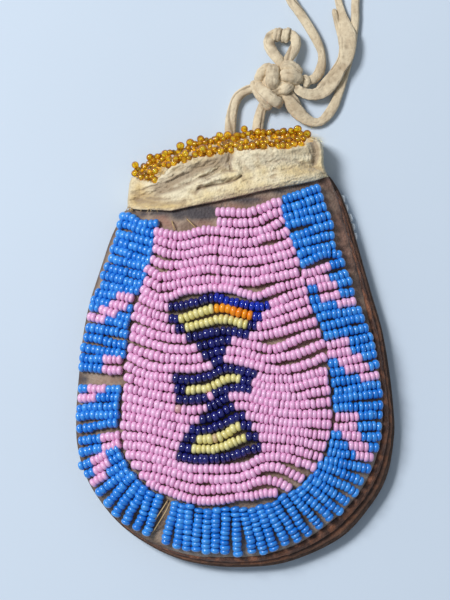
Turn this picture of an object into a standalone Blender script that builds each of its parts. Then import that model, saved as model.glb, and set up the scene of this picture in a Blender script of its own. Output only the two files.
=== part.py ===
"""A strike-a-light pouch: a flat U of leather with a beaded front, lying on its back.

The frame is in metres: +X to the right, +Y towards the mouth, +Z up from the surface that the
pouch lies on. Places are read off a squared chart, 450 squares wide and 600 high, with y counted down
from the top. The chart is drawn as one eye sees the pouch from above, a little to the lower right.
"""

import math

import bmesh
import bpy
import numpy as np
from mathutils import Vector

for old in list(bpy.data.objects):
    bpy.data.objects.remove(old)

# Sizes that can be set by themselves
BEAD_DIAMETER = 0.0021
EDGE_BEAD_DIAMETER = 0.0020
FRONT_LEATHER = 0.0013
BACK_LEATHER = 0.0013
WELT_THICKNESS = 0.0012
WELT_WIDTH = 0.0040
HIDE_THICKNESS = 0.0009
POCKET_RISE = 0.0052
THONG_DIAMETER = 0.0024
STRIP_DIAMETER = 0.0022
CLEARANCE = 0.0003
THREAD_SINK = 0.0004

# The chart: the bead rows set its scale, and the eye looks at the chart's middle
SQUARES_PER_BEAD = 8.6
SQUARE = BEAD_DIAMETER / SQUARES_PER_BEAD
CHART_MIDDLE = (225, 300)
EYE = Vector((0.0523, -0.0585, 0.5500))
LOOKED_AT = Vector((-0.00278, 0.01142, 0))
AHEAD = LOOKED_AT - EYE
RIGHTWARD = AHEAD.cross(Vector((0, 1, 0))).normalized()
UPWARD = RIGHTWARD.cross(AHEAD).normalized()

# Heights in the stack, from the surface up
BACK_UNDER = BEAD_DIAMETER
BACK_TOP = BACK_UNDER + BACK_LEATHER
WELT_UNDER = BACK_TOP + CLEARANCE
FRONT_UNDER = WELT_UNDER + WELT_THICKNESS + CLEARANCE
FRONT_TOP = FRONT_UNDER + FRONT_LEATHER
RIM_UNDER = THONG_DIAMETER + 2 * CLEARANCE

# Edges of the two panels, from the left of the mouth round the bottom to the right of the mouth
FRONT_EDGE = [
    (141, 198), (140, 209), (126, 214), (110, 240), (100, 270), (90, 301), (83, 335), (79, 373),
    (76, 416), (78, 450), (90, 485), (113, 515), (148, 541), (190, 555), (230, 558), (270, 554),
    (306, 540), (342, 513), (366, 483), (380, 446), (384, 405), (379, 365), (370, 322), (360, 280),
    (347, 236), (338, 203), (331, 187), (317, 180), (314, 169),
]  # fmt: skip
BACK_EDGE = [
    (141, 198), (140, 209), (127, 214), (111, 240), (101, 270), (91, 301), (85, 335), (81, 373),
    (78, 416), (80, 450), (91, 486), (120, 524), (160, 551), (200, 564), (245, 567), (290, 561),
    (340, 538), (370, 506), (387, 475), (394, 435), (393, 405), (389, 370), (382, 330), (371, 292),
    (360, 255), (350, 222), (340, 197), (332, 185), (317, 179), (314, 169),
]  # fmt: skip
SPINE_TOP = (226, 190)
SPINE_FOOT = (231, 425)

# Border lanes: slot number, outer end and inner end. The lanes between are spaced evenly.
LANE_ANCHORS = [
    (1, (121, 216), (159, 224)), (5, (111, 249), (151, 261)), (9, (101, 285), (140, 291)),
    (13, (88, 316), (128, 326)), (16, (82, 347), (126, 354)), (18, (80, 367), (122, 370)),
    (20, (79, 389), (121, 389)), (24, (78, 429), (118, 423)), (26, (80, 453), (121, 443)),
    (29, (92, 484), (127, 462)), (32, (116, 515), (140, 481)), (35, (146, 535), (160, 494)),
    (37, (165, 544), (175, 501)), (40, (196, 551), (199, 508)), (44, (238, 556), (235, 507)),
    (48, (286, 545), (267, 504)), (52, (331, 519), (297, 488)), (55, (357, 494), (315, 472)),
    (57, (370, 469), (324, 460)), (59, (378, 448), (329, 443)), (62, (382, 415), (335, 417)),
    (66, (379, 375), (331, 383)), (70, (372, 336), (327, 346)), (74, (356, 301), (313, 309)),
    (78, (344, 262), (302, 274)), (82, (333, 224), (290, 238)), (86, (319, 187), (283, 200)),
]  # fmt: skip
LOST_LANES = {19, 36}
# Runs of colour in a lane, from its outer end. A lane that isn't here is blue throughout.
LANE_RUNS = {
    10: "B5 P4", 11: "B4 P4 B2", 12: "B3 P4 B3", 13: "P4 B5", 17: "B6 P4", 18: "B6 P4",
    20: "B2 P5 B4", 21: "P4 B6", 25: "B6 P4", 26: "B6 P4", 27: "B4 P4 B3", 28: "B2 P4 B5",
    29: "P4 B6", 58: "P4 B6", 59: "B2 P4 B4", 60: "B4 P4 B2", 61: "B5 P5", 62: "B5 P5",
    66: "P4 B6", 67: "B2 P5 B3", 68: "B4 P5 B2", 69: "B5 P5", 70: "B5 P5", 74: "P4 B5",
    75: "B3 P4 B3", 76: "B4 P4 B2", 77: "B4 P5", 78: "B4 P6",
}  # fmt: skip

# Rows across the middle, from the mouth down: runs of colour, then the row's path, left to right.
# P is pink, N navy, C cobalt, Y yellow and O orange.
ROWS = [
    ("P13", [(215, 212), (232, 213), (250, 212), (260, 209), (272, 204), (281, 201)]),
    ("P13", [(217, 222), (240, 223), (258, 221), (272, 214), (283, 210)]),
    ("P28", [(157, 231), (180, 236), (205, 230), (230, 232), (247, 233), (268, 228), (284, 219)]),
    ("P29", [(156, 240), (180, 246), (210, 240), (233, 243), (252, 242), (266, 237), (287, 230)]),
    ("P30", [(154, 249), (180, 256), (210, 249), (233, 252), (250, 253), (268, 249), (290, 242)]),
    ("P30", [(152, 260), (170, 266), (208, 260), (242, 262), (260, 261), (280, 257), (294, 251)]),
    ("P32", [(148, 270), (164, 277), (185, 273), (210, 269), (241, 272), (274, 268), (298, 261)]),
    ("P32", [(147, 281), (164, 287), (200, 280), (218, 280), (250, 282), (270, 279), (299, 272)]),
    ("P34", [(143, 290), (160, 297), (185, 292), (205, 289), (227, 289), (246, 294), (258, 296),
             (270, 291), (304, 281)]),
    ("P7 N9 C11 P8", [(140, 297), (153, 304), (169, 307), (190, 304), (213, 298), (232, 302),
                      (258, 307), (272, 304), (290, 296), (307, 290)]),
    ("P8 N2 Y7 O7 C2 P10", [(136, 306), (150, 313), (177, 319), (192, 315), (207, 310), (222, 308),
                            (238, 312), (259, 317), (275, 312), (309, 299)]),
    ("P9 N2 Y12 N2 P12", [(133, 315), (152, 323), (176, 329), (205, 323), (220, 319), (234, 321),
                          (254, 326), (272, 323), (312, 309)]),
    ("P11 N11 P14", [(132, 327), (155, 335), (172, 338), (186, 338), (208, 334), (223, 331),
                     (240, 333), (256, 336), (275, 333), (317, 321)]),
    ("P12 N6 P18", [(131, 336), (155, 345), (172, 349), (187, 349), (210, 344), (229, 340),
                    (247, 344), (271, 349), (283, 346), (306, 336), (321, 333)]),
    ("P14 N4 P20", [(129, 347), (149, 354), (165, 358), (193, 359), (208, 355), (226, 350),
                    (253, 355), (266, 359), (297, 354), (309, 349), (325, 343)]),
    ("P16 N2 P20", [(128, 356), (137, 360), (150, 366), (168, 368), (194, 369), (208, 366),
                    (224, 359), (256, 365), (266, 368), (282, 370), (307, 364), (326, 356)]),
    ("P11 N15 P16", [(125, 365), (137, 371), (155, 377), (172, 378), (190, 380), (210, 376),
                     (224, 369), (242, 371), (256, 375), (271, 379), (298, 378), (328, 370)]),
    ("P10 N2 Y11 N2 P16", [(124, 377), (150, 384), (172, 388), (190, 390), (204, 389), (217, 384),
                           (229, 378), (243, 380), (256, 383), (268, 387), (294, 388), (308, 383), (328, 380)]),
    ("P11 N5 P1 N7 P16", [(124, 387), (150, 394), (172, 398), (190, 400), (206, 398), (221, 391),
                          (236, 388), (246, 389), (256, 392), (270, 395), (298, 397), (312, 393), (331, 390)]),
    ("P16 N5 P20", [(123, 396), (150, 403), (174, 408), (190, 410), (206, 408), (218, 403),
                    (229, 397), (244, 396), (256, 399), (270, 403), (298, 405), (331, 402)]),
    ("P16 N5 P20", [(123, 406), (150, 412), (174, 417), (190, 420), (204, 419), (218, 415),
                    (235, 406), (252, 407), (264, 410), (277, 412), (295, 414), (332, 414)]),
    ("P15 N9 P18", [(122, 415), (150, 421), (177, 427), (192, 430), (206, 430), (219, 426),
                    (242, 416), (262, 418), (289, 423), (310, 423), (331, 425)]),
    ("P12 N2 Y12 N2 P18", [(121, 425), (145, 428), (177, 436), (197, 439), (210, 439), (222, 436),
                           (241, 426), (268, 429), (298, 432), (330, 436)]),
    ("P12 N2 Y13 N2 P15", [(123, 435), (148, 438), (177, 446), (194, 449), (212, 449), (226, 446),
                           (248, 437), (275, 438), (292, 440), (326, 447)]),
    ("P12 N18 P13", [(124, 445), (145, 447), (177, 456), (197, 459), (224, 458), (240, 453),
                     (258, 448), (276, 448), (294, 450), (322, 458)]),
    ("P37", [(126, 455), (144, 456), (160, 460), (184, 467), (202, 469), (236, 468), (250, 464),
             (264, 457), (282, 457), (300, 462), (316, 468)]),
    ("P34", [(133, 466), (152, 467), (166, 470), (188, 477), (208, 479), (236, 478), (252, 473),
             (265, 467), (280, 468), (304, 480)]),
    ("P30", [(140, 475), (162, 479), (186, 487), (204, 490), (230, 488), (244, 487), (256, 482),
             (268, 480), (280, 483), (291, 489)]),
    ("P27", [(153, 485), (168, 491), (187, 498), (204, 501), (223, 500), (237, 497), (252, 496),
             (265, 493), (278, 493)]),
]  # fmt: skip
BACK_ROW_SQUARES = 9.7
BACK_MARGIN = 0.0008
SHORTEST_BACK_ROW = 0.010
CUFF_SLACK = 0.0032
SHORT_SHARE = 0.03
ROW_WIDTH = BEAD_DIAMETER - CLEARANCE
ROW_LOOK = 5
ROW_ROOM = 1.05
WELT_ENDS = 3

# The cuff: its lower edge and its two rims, left to right
CUFF_FOOT = [(129, 207), (155, 211), (190, 208), (230, 200), (280, 190), (318, 181), (325, 176)]
FRONT_RIM = [
    (136, 176), (148, 180), (159, 177), (172, 166), (190, 161), (215, 155), (245, 151), (285, 148),
    (306, 145), (315, 141),
]  # fmt: skip
BACK_RIM = [
    (138, 172), (146, 166), (160, 161), (180, 154), (205, 146), (235, 139), (265, 137), (295, 137),
    (308, 139), (315, 141),
]  # fmt: skip
EDGE_BEAD_PITCH = 1.15 * EDGE_BEAD_DIAMETER
CREASE_DEPTH = 0.0005
CUFF_BULGE = 0.0005
SLOPE_ROOM = 1.5
BEAD_NECK = 0.6
BEAD_LIFT = 0.0007
BEAD_SIDES = 6

# The thong: each route is a list of chart places with the height of its middle line, in metres
LEG_LEFT = [(229, 139, 0.0013), (230, 121, 0.0013), (232, 109, 0.0015), (237, 99, 0.0021),
            (244, 93, 0.0026), (249, 93, 0.0028)]  # fmt: skip
LEG_RIGHT = [(258, 136, 0.0013), (259, 124, 0.0013), (261, 109, 0.0020)]
LOOP = [
    (273, 62, 0.0032), (269, 51, 0.0030), (267, 42, 0.0024), (270, 33, 0.0020), (281, 29, 0.0018),
    (292, 33, 0.0020), (297, 42, 0.0024), (294, 52, 0.0030), (290, 63, 0.0032),
]  # fmt: skip
KNOT_TURNS = [
    (261, 96, 0.0030, (0.0022, 0.0030, 0.0024)),
    (271, 76, 0.0032, (0.0018, 0.0030, 0.0026)),
    (290, 74, 0.0028, (0.0026, 0.0022, 0.0022)),
    (285, 94, 0.0028, (0.0024, 0.0020, 0.0022)),
]
TAIL_LEFT = [
    (304, 77, 0.0028), (313, 75, 0.0024), (319, 66, 0.0018), (321, 56, 0.0014), (319, 45, 0.0013),
    (314, 33, 0.0013), (307, 20, 0.0013), (299, 8, 0.0013), (291, -3, 0.0013), (285, -18, 0.0013),
    (282, -36, 0.0013), (283, -56, 0.0013),
]  # fmt: skip
TAIL_MIDDLE = [
    (297, 92, 0.0028), (308, 96, 0.0022), (318, 95, 0.0016), (328, 87, 0.0013), (335, 76, 0.0013),
    (340, 65, 0.0013), (344, 51, 0.0013), (344, 36, 0.0013), (342, 18, 0.0013), (338, 0, 0.0013),
    (335, -20, 0.0013), (333, -42, 0.0013), (335, -62, 0.0013),
]  # fmt: skip
TAIL_RIGHT = [
    (289, 104, 0.0024), (296, 114, 0.0016), (305, 120, 0.0013), (314, 122, 0.0013),
    (324, 118, 0.0013), (333, 109, 0.0013), (341, 97, 0.0013), (347, 85, 0.0013),
    (351, 73, 0.0013), (355, 60, 0.0013), (357, 46, 0.0013), (356, 30, 0.0013), (355, 12, 0.0013),
    (356, -8, 0.0013), (359, -30, 0.0013), (363, -50, 0.0013),
]  # fmt: skip

COLOURS = {
    "leather": (0.15, 0.08, 0.055),
    "rim": (0.10, 0.045, 0.03),
    "hide": (0.66, 0.58, 0.38),
    "thong": (0.62, 0.52, 0.38),
    "amber": (0.80, 0.38, 0.02),
    "white": (0.70, 0.76, 0.78),
    "B": (0.03, 0.22, 0.75),
    "P": (0.72, 0.32, 0.50),
    "N": (0.008, 0.01, 0.11),
    "C": (0.01, 0.03, 0.35),
    "Y": (0.72, 0.66, 0.20),
    "O": (0.85, 0.27, 0.02),
}
DULL = {"leather": 0.75, "rim": 0.7, "hide": 0.95, "thong": 0.95}
GLASS_ROUGHNESS = 0.25


def material(name):
    """The one material of this name, made at its first use."""
    found = bpy.data.materials.get(name)
    if found:
        return found
    made = bpy.data.materials.new(name)
    made.use_nodes = True
    shader = made.node_tree.nodes["Principled BSDF"]
    shader.inputs["Base Color"].default_value = (*COLOURS[name], 1)
    shader.inputs["Roughness"].default_value = DULL.get(name, GLASS_ROUGHNESS)
    shader.inputs["Metallic"].default_value = 0
    made.diffuse_color = (*COLOURS[name], 1)
    return made


def object_from(mesh_data, name, materials, closed=True):
    """Turns a bmesh into an object with these materials. A closed one has its faces turned out."""
    if closed:
        bmesh.ops.recalc_face_normals(mesh_data, faces=mesh_data.faces)
    mesh = bpy.data.meshes.new(name)
    mesh_data.to_mesh(mesh)
    mesh_data.free()
    for each in materials:
        mesh.materials.append(material(each))
    made = bpy.data.objects.new(name, mesh)
    bpy.context.scene.collection.objects.link(made)
    return made


def seen(across, down, height):
    """The point at this height that the eye sees at a place on the chart."""
    aside = RIGHTWARD * (across - CHART_MIDDLE[0]) + UPWARD * (CHART_MIDDLE[1] - down)
    ray = AHEAD + aside * SQUARE
    return EYE + ray * ((height - EYE.z) / ray.z)


def smooth(points, count):
    """Evenly spaced points along a smooth curve through the given ones."""
    given = np.array(points, float)
    ends = [2 * given[0] - given[1], *given, 2 * given[-1] - given[-2]]
    fine = []
    for a, b, c, d in zip(ends, ends[1:], ends[2:], ends[3:]):
        for t in np.linspace(0, 1, 12, endpoint=False):
            bend = (2 * a - 5 * b + 4 * c - d) * t**2 + (3 * b - a - 3 * c + d) * t**3
            fine.append(b + (c - a) * t / 2 + bend / 2)
    fine = np.array([*fine, given[-1]])
    run = np.concatenate([[0], np.cumsum(np.linalg.norm(np.diff(fine, axis=0), axis=1))])
    even = np.linspace(0, run[-1], count)
    return np.stack([np.interp(even, run, axis) for axis in fine.T], axis=1)


def plan(points, height):
    """Chart places as places in the plan, for things at one height."""
    return np.array([seen(*point, height)[:2] for point in points])


# The front's shape
EDGE_PLAN = plan(smooth(FRONT_EDGE, 90), FRONT_TOP)
SPINE = plan([SPINE_TOP, SPINE_FOOT], FRONT_TOP)
DOME_POWER = 3


def outwardness(x, y):
    """How far a place lies from the spine towards the front panel's edge, from 0 to 1."""
    along = SPINE[1] - SPINE[0]
    place = np.array((x, y))
    share = np.dot(place - SPINE[0], along) / np.dot(along, along)
    foot = SPINE[0] + min(1, share) * along
    ray = place - foot
    if np.linalg.norm(ray) < SQUARE / 100:
        return 0
    up = np.array((0, np.ptp(EDGE_PLAN[:, 1])))
    edge = np.concatenate([[EDGE_PLAN[0] + up], EDGE_PLAN, [EDGE_PLAN[-1] + up]])
    starts, sides = edge[:-1], np.diff(edge, axis=0)
    cross = ray[0] * sides[:, 1] - ray[1] * sides[:, 0]
    gap = starts - foot
    with np.errstate(divide="ignore", invalid="ignore"):
        reach = (gap[:, 0] * sides[:, 1] - gap[:, 1] * sides[:, 0]) / cross
        side = (gap[:, 0] * ray[1] - gap[:, 1] * ray[0]) / cross
    hits = reach[(reach > 0) & (side >= -1e-6) & (side <= 1 + 1e-6)]
    return min(1, 1 / hits.min()) if len(hits) else 1


def front_top(x, y):
    """Height of the front panel's face: it rises from the seam to a flat crown."""
    return FRONT_TOP + POCKET_RISE * (1 - outwardness(x, y) ** DOME_POWER)


def on_front(across, down, lift=0):
    """The point of the chart that lies on the front panel, raised by lift."""
    place = seen(across, down, FRONT_TOP)
    for _ in range(4):
        place = seen(across, down, front_top(place.x, place.y) + lift)
    return place


# Panels and their seam
def front_sheet(rings=4, stations=44):
    """The front panel's face: rings of the U, each nearer to the spine, and a filled middle."""
    grid = bmesh.new()
    edge = plan(smooth(FRONT_EDGE, stations), FRONT_TOP)
    along = SPINE[1] - SPINE[0]
    loops = []
    for ring in range(rings, 0, -1):
        loop = []
        for place in edge:
            share = np.dot(place - SPINE[0], along) / np.dot(along, along)
            foot = SPINE[0] + min(1, share) * along
            x, y = foot + (place - foot) * ring / rings
            loop.append(grid.verts.new((x, y, front_top(x, y))))
        loops.append(loop)
    for outer, inner in zip(loops, loops[1:]):
        for i in range(stations - 1):
            grid.faces.new((outer[i], outer[i + 1], inner[i + 1], inner[i]))
    grid.faces.new(loops[-1])
    return grid


def thicken(panel, thickness):
    """Gives a sheet its thickness, inwards from the modelled face."""
    solid = panel.modifiers.new("thickness", "SOLIDIFY")
    solid.thickness = thickness
    solid.offset = -1
    solid.use_even_offset = False


# Sections of a row of beads: shares of its half width and of its height
ROUND_ROW = [(-1, 0), (-0.95, 0.55), (0, 1), (0.95, 0.55), (1, 0)]
FLAT_ROW = [(-1, 0), (-0.6, 1), (0.6, 1), (1, 0)]


def section(path, widths, base, crown, profile=ROUND_ROW):
    """The profile at each point of a path, from base to crown above the point."""
    rings = []
    for i, place in enumerate(path):
        ahead = path[min(i + 1, len(path) - 1)] - path[max(i - 1, 0)]
        side = Vector((ahead.y, -ahead.x, 0)).normalized() * widths[i] / 2
        rings.append(
            [place + side * out + Vector((0, 0, base + (crown - base) * up)) for out, up in profile]
        )
    return rings


def loft(into, rings, colours=None):
    """Closes a run of rings into one body. colours gives each stretch's material index."""
    loops = [[into.verts.new(point) for point in ring] for ring in rings]
    sides = len(loops[0])
    for i, (first, second) in enumerate(zip(loops, loops[1:])):
        for j in range(sides):
            k = (j + 1) % sides
            face = into.faces.new((first[j], first[k], second[k], second[j]))
            face.material_index = colours[i] if colours else 0
    for loop, index in ((loops[0][::-1], 0), (loops[-1], -1)):
        into.faces.new(loop).material_index = colours[index] if colours else 0


def runs_of(text):
    """Colour runs as (colour, share of the row at which the run ends)."""
    counts = [int(run[1:]) for run in text.split()]
    ends = np.cumsum(counts) / sum(counts)
    return [(run[0], end) for run, end in zip(text.split(), ends)]


def along_path(points, share):
    """The chart place at a share of a path's length."""
    points = np.array(points, float)
    run = np.concatenate([[0], np.cumsum(np.linalg.norm(np.diff(points, axis=0), axis=1))])
    return np.array([np.interp(share * run[-1], run, axis) for axis in points.T])


def lanes():
    """(slot, outer end, inner end) of each border lane, in chart squares."""
    slots = [slot for slot, _, _ in LANE_ANCHORS]
    outer = np.array([end for _, end, _ in LANE_ANCHORS], float)
    inner = np.array([end for _, _, end in LANE_ANCHORS], float)
    for slot in range(slots[0], slots[-1] + 1):
        ends = [
            np.array([np.interp(slot, slots, axis) for axis in side.T]) for side in (outer, inner)
        ]
        yield slot, *ends


LANE_END_GAP = 1.6
LANE_COLOURS = ["leather", "B", "P"]


def border_lanes():
    """All border lanes in one object: ridges from the panel's edge in to the middle field."""
    every = {slot: ends for slot, *ends in lanes()}
    ridges = bmesh.new()
    for slot, (outer, inner) in every.items():
        if slot in LOST_LANES:
            continue
        beside = every.get(slot + 1, every.get(slot - 1))
        room = [np.linalg.norm(beside[i] - end) * SQUARE for i, end in enumerate((outer, inner))]
        limits = [min(BEAD_DIAMETER, 0.93 * space) for space in room]
        inner = inner + (outer - inner) * LANE_END_GAP / np.linalg.norm(outer - inner)
        runs = runs_of(LANE_RUNS.get(slot, "B5 B5"))
        shares = [0] + [end for _, end in runs]
        path = [on_front(*(outer + (inner - outer) * share)) for share in shares]
        widths = [limits[0] + (limits[1] - limits[0]) * share for share in shares]
        colours = [LANE_COLOURS.index(colour) for colour, _ in runs]
        loft(ridges, section(path, widths, -THREAD_SINK, BEAD_DIAMETER), colours)
    return object_from(ridges, "border_lanes", LANE_COLOURS)


def fuse(panel, ridges):
    """Joins ridges to the panel that carries them."""
    join = panel.modifiers.new("ridges", "BOOLEAN")
    join.operation = "UNION"
    join.solver = "EXACT"
    join.object = ridges
    join.material_mode = "TRANSFER"
    join.use_self = True
    ridges.hide_render = True
    ridges.display_type = "WIRE"


def crossings(edge, place, heading):
    """Where a straight line through place leaves an outline, to the left and to the right."""
    normal = np.array((-heading[1], heading[0]))
    off = (edge - place) @ normal
    found = []
    for i in np.nonzero(off[:-1] * off[1:] < 0)[0]:
        found.append(edge[i] + (edge[i + 1] - edge[i]) * off[i] / (off[i] - off[i + 1]))
    found.sort(key=lambda point: point @ heading)
    return found


def row_room(edge, place, heading, half):
    """The ends of the longest straight row of this half width that fits inside an outline."""
    aside = np.array((-heading[1], heading[0])) * half
    sides = [crossings(edge, place + shift, heading) for shift in (aside, -aside)]
    if min(len(side) for side in sides) < 2:
        return None
    lefts, rights = [side[0] @ heading for side in sides], [side[-1] @ heading for side in sides]
    foot = place - heading * (place @ heading)
    return foot + heading * (max(lefts) + BACK_MARGIN), foot + heading * (min(rights) - BACK_MARGIN)


def back_rows():
    """Rows of beads on the underside of the back panel, side by side from the cuff to the foot."""
    edge = plan(smooth(BACK_EDGE, 120), BACK_UNDER)
    foot = plan([CUFF_FOOT[0], CUFF_FOOT[-1]], BACK_UNDER)
    heading = (foot[1] - foot[0]) / np.linalg.norm(foot[1] - foot[0])
    down = np.array((heading[1], -heading[0]))
    pitch = BACK_ROW_SQUARES * SQUARE
    ridges = bmesh.new()
    place = foot[0] + down * (pitch + CUFF_SLACK)
    width = min(BEAD_DIAMETER, pitch - CLEARANCE)
    while ends := row_room(edge, place, heading, width / 2):
        if (ends[1] - ends[0]) @ heading > SHORTEST_BACK_ROW:
            path = [Vector((*end, BACK_UNDER)) for end in ends]
            loft(ridges, section(path, [width] * 2, THREAD_SINK, -BEAD_DIAMETER, FLAT_ROW))
        place = place + down * pitch
    return object_from(ridges, "back_rows", ["white"])


def back_panel():
    """The back panel: a flat U of leather with its rows of beads fused on below."""
    outline = plan(smooth(BACK_EDGE, 48), BACK_TOP)
    sheet = bmesh.new()
    sheet.faces.new([sheet.verts.new((*point, BACK_TOP)) for point in outline])
    made = object_from(sheet, "back_panel", ["leather"], closed=False)
    thicken(made, BACK_LEATHER)
    fuse(made, back_rows())


def front_panel():
    """The front panel: a domed U of leather with the border lanes fused on."""
    made = object_from(front_sheet(), "front_panel", ["leather"], closed=False)
    thicken(made, FRONT_LEATHER)
    fuse(made, border_lanes())


def seam_welt(stations=44):
    """The strip of leather in the seam, all the way round the U below the cuff."""
    height = WELT_UNDER + WELT_THICKNESS
    outlines = [smooth(edge, stations) for edge in (FRONT_EDGE, BACK_EDGE)]
    outer = plan((outlines[0] + outlines[1]) / 2, height)[WELT_ENDS:-WELT_ENDS]
    along = SPINE[1] - SPINE[0]
    rings = []
    for place in outer:
        share = np.dot(place - SPINE[0], along) / np.dot(along, along)
        inward = SPINE[0] + min(1, share) * along - place
        inner = place + inward / np.linalg.norm(inward) * WELT_WIDTH
        rings.append(
            [
                Vector((*place, WELT_UNDER)),
                Vector((*place, height)),
                Vector((*inner, height)),
                Vector((*inner, WELT_UNDER)),
            ]
        )
    strip = bmesh.new()
    loft(strip, rings)
    object_from(strip, "seam_welt", ["rim"])


def clear_of(route, above):
    """A row's route, moved down wherever it would touch the row above it."""
    xs, ys = np.array(above, float).T
    moved = []
    for x, y in route:
        near = np.clip([x - ROW_LOOK, x, x + ROW_LOOK], xs[0], xs[-1])
        beside = xs[0] <= x <= xs[-1]
        low = np.interp(near, xs, ys).max() + ROW_ROOM * ROW_WIDTH / SQUARE
        moved.append((x, max(y, low) if beside else y))
    return moved


def middle_rows():
    """All rows across the middle, each kept clear of the one above."""
    above = ROWS[0][1]
    for number, (text, route) in enumerate(ROWS, 1):
        if number > 1:
            route = clear_of(route, above)
        row_of_beads(number, text, route)
        above = route


def row_of_beads(number, text, route):
    """One row across the middle, in its runs of colour, just above the front panel."""
    route = np.array(route, float)
    run = np.concatenate([[0], np.cumsum(np.linalg.norm(np.diff(route, axis=0), axis=1))])
    runs = runs_of(text)
    shares = sorted({0.0, *(run[1:-1] / run[-1]), *(float(end) for _, end in runs)})
    kept = [shares[0]]
    ends = {float(end) for _, end in runs}
    for share in shares[1:]:
        if share in ends or min(abs(share - end) for end in (*ends, kept[-1])) > SHORT_SHARE:
            kept.append(share)
    path = [on_front(*along_path(route, share)) for share in kept]
    names = list(dict.fromkeys(colour for colour, _ in runs))
    colours = []
    for first, second in zip(kept, kept[1:]):
        middle = (first + second) / 2
        colours.append(names.index(next(colour for colour, end in runs if middle < end)))
    ridge = bmesh.new()
    loft(ridge, section(path, [ROW_WIDTH] * len(path), CLEARANCE, BEAD_DIAMETER), colours)
    object_from(ridge, f"bead_row_{number:02d}", names)


def crease(share, level):
    """How far the cuff's hide stands out in its soft folds."""
    across = 17 * share + 2.6 * math.sin(4 * level + 3 * share)
    return CREASE_DEPTH * (1 + math.sin(across)) * level


def cuff_point(share, level, front):
    """A point on the outside of the cuff: share runs left to right, level from foot to rim."""
    foot = along_path(CUFF_FOOT, share)
    rim = along_path(FRONT_RIM if front else BACK_RIM, share)
    place = foot + (rim - foot) * level
    if front:
        return on_front(*place, CLEARANCE + HIDE_THICKNESS * SLOPE_ROOM + crease(share, level))
    low = BACK_UNDER - CLEARANCE - HIDE_THICKNESS
    return seen(*place, low + (RIM_UNDER - low) * level**2)


def hide_cuff(levels=5, front_stations=16, back_stations=10):
    """The cuff: one band of hide round the mouth, its foot over the tops of both panels."""
    tube = bmesh.new()
    rows = []
    for level in np.linspace(0, 1, levels):
        front = [cuff_point(share, level, True) for share in np.linspace(0, 1, front_stations)]
        back = [cuff_point(share, level, False) for share in np.linspace(1, 0, back_stations)]
        right = (front[-1] + back[0]) / 2 + Vector((CUFF_BULGE, 0, 0))
        left = (front[0] + back[-1]) / 2 - Vector((CUFF_BULGE, 0, 0))
        rows.append([tube.verts.new(point) for point in (*front, right, *back, left)])
    around = len(rows[0])
    for lower, upper in zip(rows, rows[1:]):
        for i in range(around):
            j = (i + 1) % around
            tube.faces.new((lower[i], lower[j], upper[j], upper[i]))
    made = object_from(tube, "hide_cuff", ["hide"], closed=False)
    thicken(made, HIDE_THICKNESS)


def edge_beads(name, front):
    """The beads along one rim of the cuff, strung side by side into one body."""
    radius = EDGE_BEAD_DIAMETER / 2
    middle = Vector((0, 0, -HIDE_THICKNESS / 2 if front else BEAD_LIFT))
    path = []
    for share in np.linspace(0.03, 0.97, 40):
        rim = cuff_point(share, 1, front)
        away = (rim - cuff_point(share, 0.8, front)).to_2d().to_3d().normalized()
        path.append(rim + middle + away * (CLEARANCE + radius))
    length = sum((b - a).length for a, b in zip(path, path[1:]))
    count = int(length / EDGE_BEAD_PITCH)
    centres = [Vector(point) for point in smooth(path, 2 * count + 1)]
    rings = []
    for i, centre in enumerate(centres):
        ahead = (centres[min(i + 1, 2 * count)] - centres[max(i - 1, 0)]).normalized()
        side = ahead.cross(Vector((0, 0, 1))).normalized()
        wide = radius if i % 2 else radius * BEAD_NECK
        turns = [math.tau * turn / BEAD_SIDES for turn in range(BEAD_SIDES)]
        rings.append(
            [centre + (side * math.cos(a) + Vector((0, 0, math.sin(a)))) * wide for a in turns]
        )
    chain = bmesh.new()
    loft(chain, rings)
    object_from(chain, name, ["amber"])


def placed(route):
    """A cord's route as points in space."""
    return [seen(across, down, height) for across, down, height in route]


def cord(name, route, diameter, spacing=2):
    """A limp cord of round section along a smooth curve, with a point every few diameters."""
    points = placed(route)
    length = sum((b - a).length for a, b in zip(points, points[1:]))
    count = max(4, round(length / (spacing * diameter)) + 1)
    line = bpy.data.curves.new(name, "CURVE")
    line.dimensions = "3D"
    line.bevel_depth = diameter / 2
    line.bevel_resolution = 2
    line.use_fill_caps = True
    spline = line.splines.new("POLY")
    spline.points.add(count - 1)
    for point, place in zip(spline.points, smooth(points, count)):
        point.co = (*place, 1)
    line.materials.append(material("thong"))
    made = bpy.data.objects.new(name, line)
    bpy.context.scene.collection.objects.link(made)


def lump(name, across, down, height, radii):
    """A rounded lump of the knot."""
    ball = bmesh.new()
    bmesh.ops.create_icosphere(ball, subdivisions=2, radius=1)
    bmesh.ops.scale(ball, vec=radii, verts=ball.verts)
    bmesh.ops.translate(ball, vec=seen(across, down, height), verts=ball.verts)
    return object_from(ball, name, ["thong"])


def knot():
    """The knot, drawn up tight: a core with its turns standing out of it."""
    core = lump("thong_knot", 271, 89, 0.0030, (0.0036, 0.0040, 0.0026))
    for number, (across, down, height, radii) in enumerate(KNOT_TURNS):
        turn = lump(f"knot_turn_{number}", across, down, height, radii)
        join = core.modifiers.new(f"turn {number}", "BOOLEAN")
        join.operation = "UNION"
        join.solver = "EXACT"
        join.object = turn
        turn.hide_render = True
        turn.display_type = "WIRE"


back_panel()
seam_welt()
front_panel()
middle_rows()
hide_cuff()
edge_beads("front_rim_beads", True)
edge_beads("back_rim_beads", False)
cord("thong_leg_left", LEG_LEFT, THONG_DIAMETER)
cord("thong_leg_right", LEG_RIGHT, THONG_DIAMETER)
cord("thong_loop", LOOP, STRIP_DIAMETER, spacing=1)
cord("thong_tail_left", TAIL_LEFT, STRIP_DIAMETER)
cord("thong_tail_middle", TAIL_MIDDLE, STRIP_DIAMETER)
cord("thong_tail_right", TAIL_RIGHT, STRIP_DIAMETER)
knot()
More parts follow.
